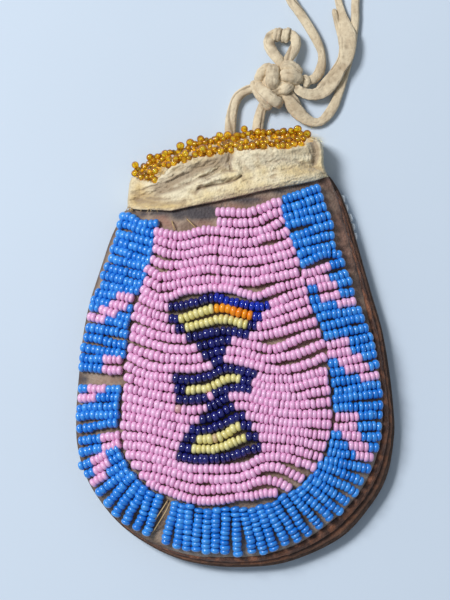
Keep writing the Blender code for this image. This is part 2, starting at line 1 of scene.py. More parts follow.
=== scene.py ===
# %% [markdown]
# # A beaded strike-a-light pouch
# The pouch is a flat U of leather that once held a fire steel, a flint and tinder. Its front is
# covered with glass beads strung on sinew, a buckskin cuff with amber edge beads closes the mouth,
# and a knotted thong hangs from the cuff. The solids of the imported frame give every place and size,
# and this lesson puts the real surfaces over them, piece by piece.

import math
import random

import bpy
import numpy as np
from mathutils import Matrix, Vector, noise


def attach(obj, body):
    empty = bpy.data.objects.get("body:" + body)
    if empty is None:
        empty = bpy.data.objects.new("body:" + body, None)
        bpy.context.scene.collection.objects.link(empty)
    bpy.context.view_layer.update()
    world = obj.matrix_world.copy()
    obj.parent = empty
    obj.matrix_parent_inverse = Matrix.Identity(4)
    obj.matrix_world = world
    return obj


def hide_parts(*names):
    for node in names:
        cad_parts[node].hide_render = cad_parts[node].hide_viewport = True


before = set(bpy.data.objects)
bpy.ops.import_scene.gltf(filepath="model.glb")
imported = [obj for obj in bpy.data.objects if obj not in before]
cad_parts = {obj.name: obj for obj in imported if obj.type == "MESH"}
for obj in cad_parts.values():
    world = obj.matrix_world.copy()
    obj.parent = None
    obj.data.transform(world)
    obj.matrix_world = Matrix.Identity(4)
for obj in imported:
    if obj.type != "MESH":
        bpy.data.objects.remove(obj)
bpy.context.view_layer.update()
print("nodes in the frame:", len(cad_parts))

# %% [markdown]
# ## One eye for the camera and for the chart
# Each bead was placed by its square in a chart of 450 by 600 squares, which is what one eye sees
# from above. The same eye is the camera here, so a place on the chart and a height give a point in
# space, and whatever stands there lands on that square of the picture again.

# %% The eye and its chart
BEAD_DIAMETER = 0.0021
BEAD_SQUARES = 8.6
SQUARE = BEAD_DIAMETER / BEAD_SQUARES
CHART_WIDTH, CHART_HEIGHT = 450, 600
EYE = np.array((0.0523, -0.0585, 0.5500))
LOOKED_AT = np.array((-0.00278, 0.01142, 0.0))
AHEAD = LOOKED_AT - EYE
RIGHTWARD = np.cross(AHEAD, (0, 1, 0))
RIGHTWARD /= np.linalg.norm(RIGHTWARD)
UPWARD = np.cross(RIGHTWARD, AHEAD)
UPWARD /= np.linalg.norm(UPWARD)


def seen(places, height):
    """The points at this height that the eye sees at places on the chart."""
    places = np.atleast_2d(np.array(places, float))
    aside = RIGHTWARD * (places[:, :1] - CHART_WIDTH / 2) + UPWARD * (CHART_HEIGHT / 2 - places[:, 1:2])
    ray = AHEAD + aside * SQUARE
    return EYE + ray * ((np.reshape(height, (-1, 1)) - EYE[2]) / ray[:, 2:])


print("one square of the chart in mm:", round(SQUARE * 1000, 3))

# %% [markdown]
# ### The camera
# A lens could be tried by eye until the picture looks right. Here it follows from the chart
# instead: the sensor has to cover the chart's longer side at the distance of the point looked at.
# The camera's axes are the chart's, so it needs no turning by angles.

# %% The camera
SENSOR = 36
camera = bpy.data.objects.new("camera", bpy.data.cameras.new("camera"))
bpy.context.scene.collection.objects.link(camera)
toward = AHEAD / np.linalg.norm(AHEAD)
camera.matrix_world = Matrix.Translation(EYE) @ Matrix((RIGHTWARD, UPWARD, -toward)).transposed().to_4x4()
camera.data.sensor_width = SENSOR
camera.data.lens = SENSOR * np.linalg.norm(AHEAD) / (SQUARE * CHART_HEIGHT)
camera.data.clip_start = 0.01
bpy.context.scene.camera = camera
print("lens in mm:", round(camera.data.lens, 1))

# %% [markdown]
# ## Light and floor
# A wide soft lamp on the left gives the beads their round highlights and lays soft shadows to the
# right. The sky fills the shadows with a little blue. Together they light a flat surface at about
# the level at which a colour renders as it is written.

# %% Lamp and sky
LAMP_PLACE = Vector((-0.53, 0.32, 0.91))
LAMP_SIZE = 0.36
LAMP_POWER = 10.6
SKY_COLOUR = (0.80, 0.90, 1.0)
SKY_LEVEL = 0.30


def add_lamp(name, place, size, power):
    """A square soft lamp aimed at the pouch."""
    light = bpy.data.lights.new(name, "AREA")
    light.size, light.energy = size, power
    lamp = bpy.data.objects.new(name, light)
    lamp.location = place
    lamp.rotation_euler = (-place).to_track_quat("-Z", "Y").to_euler()
    bpy.context.scene.collection.objects.link(lamp)


add_lamp("window", LAMP_PLACE, LAMP_SIZE, LAMP_POWER)
sky = bpy.data.worlds.new("sky")
bpy.context.scene.world = sky
sky.use_nodes = True
background = sky.node_tree.nodes["Background"].inputs
background["Color"].default_value = (*SKY_COLOUR, 1)
background["Strength"].default_value = SKY_LEVEL
bpy.context.scene.view_settings.view_transform = "Standard"
print("lamp of", LAMP_POWER, "W,", round(LAMP_PLACE.length, 2), "m away")

# %% [markdown]
# ## Small tools for meshes
# A mesh can be built with Blender's own operators, but thousands of beads are quicker to make from
# arrays of points and faces. One helper turns such arrays into an object. Others keep a value on
# each point, let the piece ride on the frame, and name the solids that it stands for.


# %% From arrays to a piece
def make_object(name, points, faces, materials, index=None, smooth=True):
    """A mesh object with these points, faces and materials."""
    mesh = bpy.data.meshes.new(name)
    mesh.from_pydata(np.asarray(points).tolist(), [], [list(face) for face in faces])
    for each in materials:
        mesh.materials.append(each)
    if index is not None:
        mesh.polygons.foreach_set("material_index", index)
    mesh.polygons.foreach_set("use_smooth", [smooth] * len(mesh.polygons))
    made = bpy.data.objects.new(name, mesh)
    bpy.context.scene.collection.objects.link(made)
    return made


def give_values(piece, name, values):
    """Keeps one number for each point, which a material can read by this name."""
    piece.data.attributes.new(name, "FLOAT", "POINT").data.foreach_set("value", np.asarray(values, float))


def seat(piece, slot, *nodes):
    """The piece rides on the pouch and stands for these solids. Its slot is not used."""
    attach(piece, "root")
    if nodes:
        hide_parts(*nodes)
    return piece


# %% Grids and joined meshes
def grid_faces(rows, columns, closed=False):
    """Faces of a grid of points. A closed one joins its last column to its first."""
    across = columns if closed else columns - 1
    return [
        (
            i * columns + j,
            i * columns + (j + 1) % columns,
            (i + 1) * columns + (j + 1) % columns,
            (i + 1) * columns + j,
        )
        for i in range(rows - 1)
        for j in range(across)
    ]


def join_meshes(parts):
    """Several (points, faces) as one."""
    points, faces, start = [], [], 0
    for corners, more in parts:
        points.append(corners)
        faces += [tuple(corner + start for corner in face) for face in more]
        start += len(corners)
    return np.concatenate(points), faces


# %% [markdown]
# ## Small tools for materials
# A material is a tree of nodes. Written out one by one they fill pages, so these helpers add a node
# with its links and values in one line, blend two colours by a mask, and stretch a value's range.
# The Principled shader stays in each material, where its plain numbers are set on its own sockets.


# %% Nodes of a material
def add_node(tree, kind, links=(), **settings):
    """One shader node. Settings name its own options or, in capitals, the values of its sockets."""
    made = tree.nodes.new(kind)
    for key, value in settings.items():
        if hasattr(made, key):
            setattr(made, key, value)
        else:
            made.inputs[key.replace("_", " ")].default_value = value
    for socket, source in dict(links).items():
        tree.links.new(source, made.inputs[socket])
    return made


def mix_colours(tree, mask, first, second):
    """Blends two colours or colour sockets by a mask socket."""
    made = tree.nodes.new("ShaderNodeMix")
    made.data_type = "RGBA"
    tree.links.new(mask, made.inputs["Factor"])
    for socket, colour in (("A", first), ("B", second)):
        place = next(s for s in made.inputs if s.name == socket and s.type == "RGBA")
        if isinstance(colour, tuple):
            place.default_value = (*colour, 1)
        else:
            tree.links.new(colour, place)
    return next(s for s in made.outputs if s.type == "RGBA")


def span(tree, value, low, high, to_low=0.0, to_high=1.0):
    """Stretches part of a value's range, with its ends held."""
    made = add_node(tree, "ShaderNodeMapRange", {"Value": value})
    made.inputs["From Min"].default_value = low
    made.inputs["From Max"].default_value = high
    made.inputs["To Min"].default_value = to_low
    made.inputs["To Max"].default_value = to_high
    return made.outputs["Result"]


def kept_value(tree, name):
    """The number that each point keeps under this name."""
    return add_node(tree, "ShaderNodeAttribute", attribute_name=name).outputs["Fac"]


# %% Materials and groups
def new_material(name, roughness=0.5, **shader_values):
    """A material with a Principled shader that has these plain values."""
    made = bpy.data.materials.new(name)
    made.use_nodes = True
    shader = made.node_tree.nodes["Principled BSDF"]
    shader.inputs["Roughness"].default_value = roughness
    for key, value in shader_values.items():
        shader.inputs[key.replace("_", " ")].default_value = value
    return made, made.node_tree, shader


def new_group(name, inputs, outputs):
    """An empty node group with these named sockets, and its two ends."""
    tree = bpy.data.node_groups.new(name, "ShaderNodeTree")
    for title, value in inputs.items():
        tree.interface.new_socket(title, in_out="INPUT", socket_type="NodeSocketFloat").default_value = value
    for title, kind in outputs.items():
        tree.interface.new_socket(title, in_out="OUTPUT", socket_type=f"NodeSocket{kind}")
    return tree, tree.nodes.new("NodeGroupInput").outputs, tree.nodes.new("NodeGroupOutput").inputs


def use_group(tree, group, **values):
    """The group as one node of a material, with its own values."""
    made = tree.nodes.new("ShaderNodeGroup")
    made.node_tree = group
    for key, value in values.items():
        made.inputs[key.replace("_", " ")].default_value = value
    return made.outputs


def bumps(tree, shader, height, distance):
    """Lets a height socket dent the surface."""
    bump = add_node(tree, "ShaderNodeBump", {"Height": height}, Strength=1.0, Distance=distance)
    tree.links.new(bump.outputs["Normal"], shader.inputs["Normal"])


# %% [markdown]
# ## Shared effects
# Hide, leather and thong all have pores and creases, and all are stained in soft patches. Two node
# groups make these: one puts out a height, the other a mask. Both read the object's own
# coordinates in metres, so their scale is the same on every piece.


# %% Groups for grain and for stains
def build_grain():
    """Pores and fine creases of hide, as a height from 0 to 1."""
    tree, given, result = new_group("hide_grain", {"Pores": 1500.0, "Creases": 320.0}, {"Height": "Float"})
    place = add_node(tree, "ShaderNodeTexCoord").outputs["Object"]
    pores = add_node(tree, "ShaderNodeTexVoronoi", {"Vector": place, "Scale": given["Pores"]})
    finer = {"Vector": place, "Scale": given["Creases"]}
    creases = add_node(tree, "ShaderNodeTexNoise", finer, Detail=6.0, Roughness=0.65).outputs["Fac"]
    terms = {0: pores.outputs["Distance"], 1: creases, 2: creases}
    height = add_node(tree, "ShaderNodeMath", terms, operation="MULTIPLY_ADD")
    tree.links.new(height.outputs[0], result["Height"])
    return tree


def build_stains():
    """Soft patches, as a mask. The higher Cover is, the more of the surface they leave bare."""
    tree, given, result = new_group("stains", {"Size": 90.0, "Cover": 0.5, "Edge": 0.12}, {"Mask": "Float"})
    place = {"Vector": add_node(tree, "ShaderNodeTexCoord").outputs["Object"], "Scale": given["Size"]}
    cloud = add_node(tree, "ShaderNodeTexNoise", place, Detail=4.0, Roughness=0.6).outputs["Fac"]
    far = add_node(tree, "ShaderNodeMath", {0: given["Cover"], 1: given["Edge"]}, operation="ADD")
    ends = {"Value": cloud, "From Min": given["Cover"], "From Max": far.outputs[0]}
    edge = add_node(tree, "ShaderNodeMapRange", ends)
    tree.links.new(edge.outputs["Result"], result["Mask"])
    return tree


GRAIN = build_grain()
STAINS = build_stains()
print("shared groups:", [group.name for group in bpy.data.node_groups])

# %% [markdown]
# ### The floor
# The pouch lies on a plain pale table. Nothing on it is to catch the eye, so it is one square, far
# wider than the picture, in a pale blue that varies by a few parts in a hundred.

# %% The floor
FLOOR_COLOUR = (0.61, 0.70, 0.81)
FLOOR_REACH = 3.0


def build_floor():
    """A plain pale table under the pouch."""
    paint, tree, shader = new_material("table", roughness=0.75)
    patches = use_group(tree, STAINS, Size=6.0, Cover=0.35, Edge=0.4)["Mask"]
    paler = tuple(min(1, part * 1.04) for part in FLOOR_COLOUR)
    tree.links.new(mix_colours(tree, patches, FLOOR_COLOUR, paler), shader.inputs["Base Color"])
    corners = [(x * FLOOR_REACH, y * FLOOR_REACH, 0) for x, y in ((-1, -1), (1, -1), (1, 1), (-1, 1))]
    make_object("floor", corners, [(0, 1, 2, 3)], [paint], smooth=False)


build_floor()
print("floor", 2 * FLOOR_REACH, "m wide")

# %% [markdown]
# ## Curves
# Rows, rims and thongs all follow smooth curves through a few points. A Blender curve object would
# do for one of them, but here each curve is needed as numbers, to share beads out along it. So the
# curve is worked out as a run of evenly spaced points.


# %% Smooth curves
def run_along(points):
    """How far along a line each of its points lies."""
    return np.concatenate([[0], np.cumsum(np.linalg.norm(np.diff(points, axis=0), axis=1))])


def smooth_curve(points, count):
    """Evenly spaced points along a smooth curve through the given ones."""
    given = np.array(points, float)
    ends = [2 * given[0] - given[1], *given, 2 * given[-1] - given[-2]]
    fine = []
    for a, b, c, d in zip(ends, ends[1:], ends[2:], ends[3:]):
        t = np.linspace(0, 1, 12, endpoint=False)[:, None]
        bend = (2 * a - 5 * b + 4 * c - d) * t**2 + (3 * b - a - 3 * c + d) * t**3
        fine.append(b + (c - a) * t / 2 + bend / 2)
    fine = np.concatenate([*fine, given[-1:]])
    run = run_along(fine)
    return np.stack([np.interp(np.linspace(0, run[-1], count), run, axis) for axis in fine.T], axis=1)


def length_of(points):
    """The length of a line through points."""
    return np.linalg.norm(np.diff(np.asarray(points), axis=0), axis=1).sum()


def along_route(route, shares):
    """Places at these shares of a route's length."""
    route = np.array(route, float)
    run = run_along(route)
    return np.stack([np.interp(np.asarray(shares) * run[-1], run, axis) for axis in route.T], axis=1)


# %% [markdown]
# ## The pouch's shape
# From the table up come the back's beads, the back panel, the strip in the seam and the front
# panel. Both outlines are drawn on the chart. The front bulges: it is highest along a spine and
# falls to the seam. That height is a formula, so a bead can be set on the front anywhere.

# %% Layers and outlines
BACK_LEATHER = FRONT_LEATHER = 0.0013
WELT_THICKNESS = 0.0012
CLEARANCE = 0.0003
BACK_UNDER = BEAD_DIAMETER
BACK_TOP = BACK_UNDER + BACK_LEATHER
FRONT_UNDER = BACK_TOP + CLEARANCE + WELT_THICKNESS + CLEARANCE
FRONT_TOP = FRONT_UNDER + FRONT_LEATHER
POCKET_RISE = 0.0052
FRONT_EDGE = [
    (141, 198), (135, 207), (124, 211.5), (118, 222.5), (110, 240), (100, 270), (90, 301), (83, 335),
    (79, 373), (76, 416), (78, 450), (90, 485), (113, 515), (148, 541), (190, 555), (230, 558),
    (270, 554), (306, 540), (342, 513), (366, 483), (380, 446), (384, 405), (379, 365), (370, 322),
    (360, 280), (348, 236), (339, 203), (334, 189), (329, 178), (321, 172), (314, 169),
]
BACK_EDGE = [
    (141, 198), (135, 207), (125, 212), (119, 222.5), (111, 240), (101, 270), (91, 301), (85, 335),
    (81, 373), (78, 416), (80, 450), (91, 486), (120, 524), (160, 551), (200, 564), (245, 567),
    (290, 561), (340, 538), (370, 506), (387, 475), (394, 435), (393, 405), (389, 370), (382, 330),
    (371, 292), (360.5, 255), (351, 222), (342, 197), (335, 184), (329, 176), (321, 170.5), (314, 168),
]
SPINE = seen([(226, 190), (231, 425)], FRONT_TOP)[:, :2]
EDGE_PLAN = seen(smooth_curve(FRONT_EDGE, 90), FRONT_TOP)[:, :2]
RUN_UP = np.array([(0, np.ptp(EDGE_PLAN[:, 1]))])
EDGE_OUTLINE = np.concatenate([EDGE_PLAN[:1] + RUN_UP, EDGE_PLAN, EDGE_PLAN[-1:] + RUN_UP])
print("front panel in mm:", np.ptp(EDGE_PLAN, axis=0).round(4) * 1000)


# %% The domed front
def outwardness(xy):
    """How far each place lies from the spine, 0, towards the front panel's edge, 1."""
    along = SPINE[1] - SPINE[0]
    share = np.minimum(1, (xy - SPINE[0]) @ along / (along @ along))
    foot = SPINE[0] + share[:, None] * along
    ray = xy - foot
    starts, sides = EDGE_OUTLINE[:-1], np.diff(EDGE_OUTLINE, axis=0)
    gap = starts - foot[:, None]
    with np.errstate(divide="ignore", invalid="ignore"):
        cross = ray[:, :1] * sides[:, 1] - ray[:, 1:] * sides[:, 0]
        reach = (gap[..., 0] * sides[:, 1] - gap[..., 1] * sides[:, 0]) / cross
        side = (gap[..., 0] * ray[:, 1:] - gap[..., 1] * ray[:, :1]) / cross
        reach[~((reach > 0) & (side >= -1e-6) & (side <= 1 + 1e-6))] = np.inf
        return np.minimum(1, 1 / reach.min(axis=1))


def front_top(xy):
    """Height of the front panel's face at places in the plan."""
    return FRONT_TOP + POCKET_RISE * (1 - outwardness(xy) ** 3)


def on_front(places, lift=0.0):
    """The points seen at these squares of the chart that lie this far above the front's face."""
    points = seen(places, FRONT_TOP)
    for _ in range(4):
        points = seen(places, front_top(points[:, :2]) + lift)
    return points


print("top of the dome in mm:", round(front_top(SPINE[1:])[0] * 1000, 2))

# %% [markdown]
# ## The thong
# A long strip of buckskin comes out of the cuff's back as two legs, is drawn into a lump of a knot
# with a small wrapped loop on top, and ends in loose tails. Soft strip rolls up on itself when it
# is pulled, so a strand is swept here as a tube whose section is flattened and has a lengthwise
# fold that wanders round it. The cords come first, because they reach furthest from the pouch.

# %% Frames along a strand
THONG_DIAMETER = 0.0024
STRAND_SIDES = 30
STRAND_TWIST = 60


def frames_along(points):
    """Heading, side and up at each point of a line."""
    ahead = np.gradient(points, axis=0)
    ahead /= np.linalg.norm(ahead, axis=1)[:, None]
    side = np.cross(ahead, (0, 0, 1))
    for i in range(len(side)):
        if np.linalg.norm(side[i]) < 0.2 and i:
            side[i] = side[i - 1]
    side /= np.linalg.norm(side, axis=1)[:, None]
    return ahead, side, np.cross(side, ahead)


def wander(count, pace, seed):
    """A slow random walk between about -1 and 1, one value a step."""
    return np.array([noise.noise(Vector((i * pace, seed * 7.31, 0.5))) for i in range(count)]) * 2


# %% The skin of a strand
def strand_mesh(route, flat=0.8, fold=0.2, turns=0.6, seed=1, step=0.0004, fullness=0.85):
    """Points and faces of one rolled strip, with how deep each point lies in its fold.

    A route is (x, y, z, width). flat is the strip's thickness as a share of its width. A fullness of
    1 makes the section an ellipse, less makes its sides flatter and its edges sharper.
    """
    count = max(8, round(length_of(route[:, :3]) / step))
    both = smooth_curve(route, count)
    line, wide = both[:, :3], both[:, 3]
    ahead, side, up = frames_along(line)
    bend = np.linalg.norm(np.gradient(ahead, axis=0), axis=1) / step
    pleat = np.clip(bend * wide * 0.9, 0, 1) * 0.05 * np.sin(np.arange(count) * step / 0.00022)
    swell, sway = wander(count, 0.06, seed), wander(count, 0.035, seed + 40)
    ends = np.minimum(1, np.minimum(np.arange(count) + 0.6, count - 0.4 - np.arange(count)) / 2.2) ** 0.5
    angles = np.linspace(0, math.tau, STRAND_SIDES, endpoint=False)
    aside = np.sign(np.cos(angles)) * np.abs(np.cos(angles)) ** fullness
    above = np.sign(np.sin(angles)) * np.abs(np.sin(angles)) ** fullness * flat
    rings, hollow = [], []
    for i in range(count):
        turned = angles + STRAND_TWIST * i * step
        at = i * step * 150 + seed
        folded = [noise.noise(Vector((1.7 * math.cos(a), 1.7 * math.sin(a), at))) for a in turned]
        creases = np.exp(-((np.array(folded) / 0.09) ** 2))
        fold_at = math.pi * (0.5 + 0.35 * sway[i]) + math.tau * turns * i / count
        off = (angles - fold_at + math.pi) % math.tau - math.pi
        dent = np.exp(-((off / 0.30) ** 2))
        lips = np.exp(-(((off - 0.75) / 0.4) ** 2)) + 0.6 * np.exp(-(((off + 0.8) / 0.5) ** 2))
        ridges = 0.03 * np.sin(3 * angles + 4 * sway[i])
        shaped = 1 + 0.05 * swell[i] + pleat[i] + ridges + 0.05 * lips - fold * dent - 0.09 * creases
        reach = wide[i] / 2 * ends[i] * shaped
        rings.append(line[i] + np.outer(aside * reach, side[i]) + np.outer(above * reach, up[i]))
        hollow.append(np.clip(dent * min(1, fold / 0.2) + 6 * max(0, -pleat[i]) + 0.55 * creases, 0, 1))
    faces = grid_faces(count, STRAND_SIDES, closed=True)
    faces.append(tuple(range(STRAND_SIDES))[::-1])
    faces.append(tuple(range((count - 1) * STRAND_SIDES, count * STRAND_SIDES)))
    return np.concatenate(rings), faces, np.concatenate(hollow)


# %% [markdown]
# ### Buckskin of the thong
# Brain-tanned strip is pale and matt. Hands have darkened it in patches. A plain colour looks like
# plastic here, so two sizes of stains are laid over it, and the depth that each point keeps
# darkens the folds, as painted shade with some dirt. A little sheen stands for the nap of the suede.


# %% Finish of the thong
def build_thong_hide():
    """Pale buckskin strip, darker where hands have rubbed it, and painted darker in its folds as shade with
    some grime.
    """
    paint, tree, shader = new_material("thong_buckskin", roughness=0.9)
    stains = use_group(tree, STAINS, Size=230.0, Cover=0.44, Edge=0.22)["Mask"]
    body = mix_colours(tree, stains, (0.80, 0.67, 0.47), (0.60, 0.47, 0.31))
    specks = use_group(tree, STAINS, Size=800.0, Cover=0.50, Edge=0.22)["Mask"]
    speckled = mix_colours(tree, span(tree, specks, 0.0, 1.0, 0.0, 0.5), body, (0.44, 0.33, 0.21))
    # The folds are painted darker: painted shade, with some dirt.
    deep = span(tree, kept_value(tree, "hollow"), 0.25, 1.0, 0.0, 0.8)
    tree.links.new(mix_colours(tree, deep, speckled, (0.26, 0.18, 0.11)), shader.inputs["Base Color"])
    bumps(tree, shader, use_group(tree, GRAIN, Pores=2200.0, Creases=1100.0)["Height"], 0.00016)
    shader.inputs["Sheen Weight"].default_value = 0.15
    return paint


THONG_HIDE = build_thong_hide()
print("finish:", THONG_HIDE.name)

# %% [markdown]
# ### From a route to a strand
# Each strand follows a route: chart places with a height and a width. The route becomes a smooth
# curve, the curve a tube, and its measured length is printed.


# %% A strand as a piece
def route_points(route):
    """A route given by chart places, heights and widths in millimetres, as points in space."""
    route = np.array(route, float)
    return np.column_stack([seen(route[:, :2], route[:, 2] / 1000), route[:, 3] / 1000])


def strand(name, route, nodes=(), browned=(), **shape):
    """One strand of the thong as its own piece, and the points it follows.

    Each soiled spot is a chart place, a height in millimetres, its reach in squares and its strength.
    """
    points = smooth_curve(route_points(route), 8 * len(route))
    corners, faces, hollow = strand_mesh(points, **shape)
    for x, y, height, reach, strength in browned:
        away = np.linalg.norm(corners - seen((x, y), height / 1000), axis=1)
        hollow = np.maximum(hollow, strength * np.exp(-((away / (reach * SQUARE)) ** 2)))
    piece = seat(make_object(name, corners, faces, [THONG_HIDE]), "thong_buckskin", *nodes)
    give_values(piece, "hollow", hollow)
    print(name, "is", round(length_of(points[:, :3]) * 1000, 1), "mm long")
    return piece, points[:, :3]


# %% [markdown]
# ### The two long strands
# Both run out of the back of the cuff, through the knot and on as tails, which leave the picture
# and end just beyond it. The right one is a flatter strip than the left.

# %% The two long strands
# Chart place, height and width in millimetres, from the cuff to the loose end
LEFT_ROUTE = [
    (229.5, 141, 1.3, 2.5), (230.2, 131, 1.3, 2.7), (231.4, 118, 1.3, 2.7), (234, 106, 1.3, 2.5),
    (238, 97, 1.6, 2.4), (244.5, 91.5, 2.1, 2.2), (252, 88.5, 2.5, 2.2), (263, 86, 2.4, 2.0),
    (274, 80, 2.2, 2.0), (286, 78, 2.2, 2.0), (298, 79.5, 2.2, 2.1), (309, 80.5, 2.2, 2.2),
    (316, 77, 1.8, 2.3), (321, 67, 1.4, 2.2), (321.7, 55, 1.2, 1.9), (318.4, 44, 1.2, 2.2),
    (310.7, 29.6, 1.2, 2.4), (302.5, 16.3, 1.2, 2.5), (294.8, 6, 1.2, 2.5), (290, -2, 1.2, 2.4),
    (285, -18, 1.2, 2.3), (282, -36, 1.2, 2.3), (283, -54, 1.2, 2.2),
]
RIGHT_ROUTE = [
    (257, 141, 1.3, 2.6), (257.4, 131, 1.3, 2.8), (258.6, 121, 1.3, 2.8), (261, 111, 1.6, 2.5),
    (266, 101, 2.2, 2.4), (276, 94, 2.4, 2.4), (285, 93, 2.6, 3.0), (290, 100, 2.6, 3.6),
    (295.8, 109.5, 2.2, 3.6), (303.5, 117.5, 1.8, 3.0), (312.5, 122, 1.4, 2.4), (321, 121.2, 1.2, 2.1),
    (327.8, 115, 1.1, 2.4), (334, 105.5, 1.1, 2.4), (338.5, 94.5, 1.1, 2.2), (342.5, 84, 1.1, 2.0),
    (345.7, 73, 1.1, 1.9), (349.5, 60, 1.1, 1.8), (352.6, 46, 1.1, 1.8), (354.4, 32, 1.2, 1.9),
    (355.2, 16, 1.2, 2.0), (355.3, 2, 1.2, 2.0), (357, -18, 1.2, 2.0), (361, -38, 1.2, 2.0),
    (364, -50, 1.2, 1.9),
]
left_thong, left_line = strand(
    "thong_left", LEFT_ROUTE, ("thong_leg_left", "thong_tail_left"), turns=1.2, seed=2
)
right_thong, right_line = strand(
    "thong_right", RIGHT_ROUTE, ("thong_leg_right", "thong_tail_right"),
    turns=0.8, flat=0.6, fullness=0.7, seed=3,
)

# %% [markdown]
# ### The middle tail
# The middle tail is a broad ribbon of two strips that turns over once. Near the top of the picture
# its strips part, and the cut end of a third one sticks out on the left.

# %% The middle tail
RIBBON_ROUTE = [
    (294.5, 81, 2.6, 1.6), (296, 87, 3.4, 2.0), (301, 91.8, 3.4, 2.4), (308, 94.4, 3.0, 2.8),
    (315.5, 94.6, 2.7, 3.1), (323.5, 90.8, 2.5, 3.8), (330.5, 83, 2.5, 4.1), (336.5, 75.2, 2.8, 3.4),
    (342.3, 67.4, 3.2, 2.5), (346.4, 57.5, 3.1, 3.4), (347.8, 46.5, 2.9, 4.1), (347.6, 36.5, 2.4, 4.5),
    (345.6, 27, 1.8, 3.4), (342.6, 16, 1.2, 2.1), (340, 7, 1.0, 1.8), (338, -2, 1.0, 1.7),
    (335, -20, 1.0, 1.7), (333, -38, 1.0, 1.7), (334, -54, 1.0, 1.7),
]
STUB_ROUTE = [
    (318, 88, 1.2, 1.4), (326, 80, 1.3, 1.5), (334, 70, 1.6, 1.5), (340, 60, 1.7, 1.5),
    (342, 50, 1.6, 1.5), (341, 40, 1.3, 1.5), (339, 31, 1.2, 1.4), (337.2, 23.5, 1.3, 1.4),
    (335.4, 16, 1.4, 1.4), (333.8, 9, 1.4, 1.3),
]
ribbon, ribbon_line = strand(
    "thong_ribbon", RIBBON_ROUTE, ("thong_tail_middle",),
    flat=0.30, fold=0.07, turns=0.35, fullness=0.55, seed=4,
)
stub, _ = strand("thong_cut_end", STUB_ROUTE, flat=0.7, turns=0.5, seed=6)

# %% [markdown]
# ### The loop
# The loop stands on the knot, with both its ends drawn down into it. A brown stain runs down its
# left side. It could be part of the finish, but it is in one place only, so soiled spots are given
# with the route and darken the points near them.

# %% The loop
LOOP_ROUTE = [
    (276, 92, 1.8, 2.0), (279, 84, 2.0, 2.1), (282, 75, 2.6, 2.3), (282.3, 68, 3.6, 2.5),
    (280.2, 62, 4.0, 2.7), (275.5, 56, 3.8, 2.8), (271, 49.5, 3.2, 2.8), (268.8, 42.5, 2.6, 2.7),
    (270.8, 36, 2.2, 2.3), (276.5, 33.5, 2.0, 2.2), (284, 34.5, 2.0, 2.2), (291, 35, 2.0, 2.5),
    (295.2, 39.5, 2.2, 2.7), (295.3, 46.5, 2.6, 2.7), (291.8, 54, 3.2, 2.6), (287.3, 61, 3.8, 2.4),
    (285.5, 68, 3.6, 2.2), (286, 76, 2.6, 2.1), (288, 85, 2.0, 2.0),
]
LOOP_STAINS = [(267.5, 35.5, 3.3, 4.4, 1.0), (273, 44.5, 3.4, 5.0, 1.0), (273, 51, 4.6, 5.0, 0.7)]
loop, loop_line = strand("thong_loop_strand", LOOP_ROUTE, ("thong_loop",), LOOP_STAINS, turns=1.1, seed=7)

# %% [markdown]
# ### The wrapping
# A thin strip is wound round the top of the loop. Its turns are a helix about the loop's top, made
# uneven so that it looks wound by hand.

# %% The wrapping
WRAP_TURNS = 3.6
WRAP_FROM, WRAP_TO = (274, 35), (289.5, 35.5)
WRAP_HEIGHT = 0.0021
WRAP_REACH, WRAP_WIDTH = 0.00135, 0.0013


def wrap_route(around=14):
    """A thin strip wound a little unevenly round the top of the loop."""
    count = round(WRAP_TURNS * around)
    steps = np.linspace(0, 1, count)
    start, end = seen(WRAP_FROM, WRAP_HEIGHT)[0], seen(WRAP_TO, WRAP_HEIGHT)[0]
    side = np.cross((end - start) / np.linalg.norm(end - start), (0, 0, 1))
    angle = steps * WRAP_TURNS * math.tau
    reach = (WRAP_REACH * (1 + 0.12 * wander(count, 0.12, 9)))[:, None]
    uneven = steps + 0.05 * np.sin(angle / 2 + 1)
    turned = reach * (np.outer(np.cos(angle), side) + np.outer(np.sin(angle), (0, 0, 1)))
    return np.column_stack([start + np.outer(uneven, end - start) + turned, np.full(count, WRAP_WIDTH)])


corners, faces, hollow = strand_mesh(wrap_route(), flat=0.8, fold=0.08, seed=8, step=0.0003)
loop_wrap = seat(make_object("thong_loop_wrap", corners, faces, [THONG_HIDE]), "thong_buckskin", "thong_loop")
give_values(loop_wrap, "hollow", hollow)
print("turns round the loop:", WRAP_TURNS)

# %% [markdown]
# ### The knot
# The knot is drawn up tight, so only short stretches of strand show, and each bulges. Running two
# whole strands through one another would be hard to steer. Short strands of their own are packed
# round a core instead, and joined into one piece, because only their tops are ever seen.

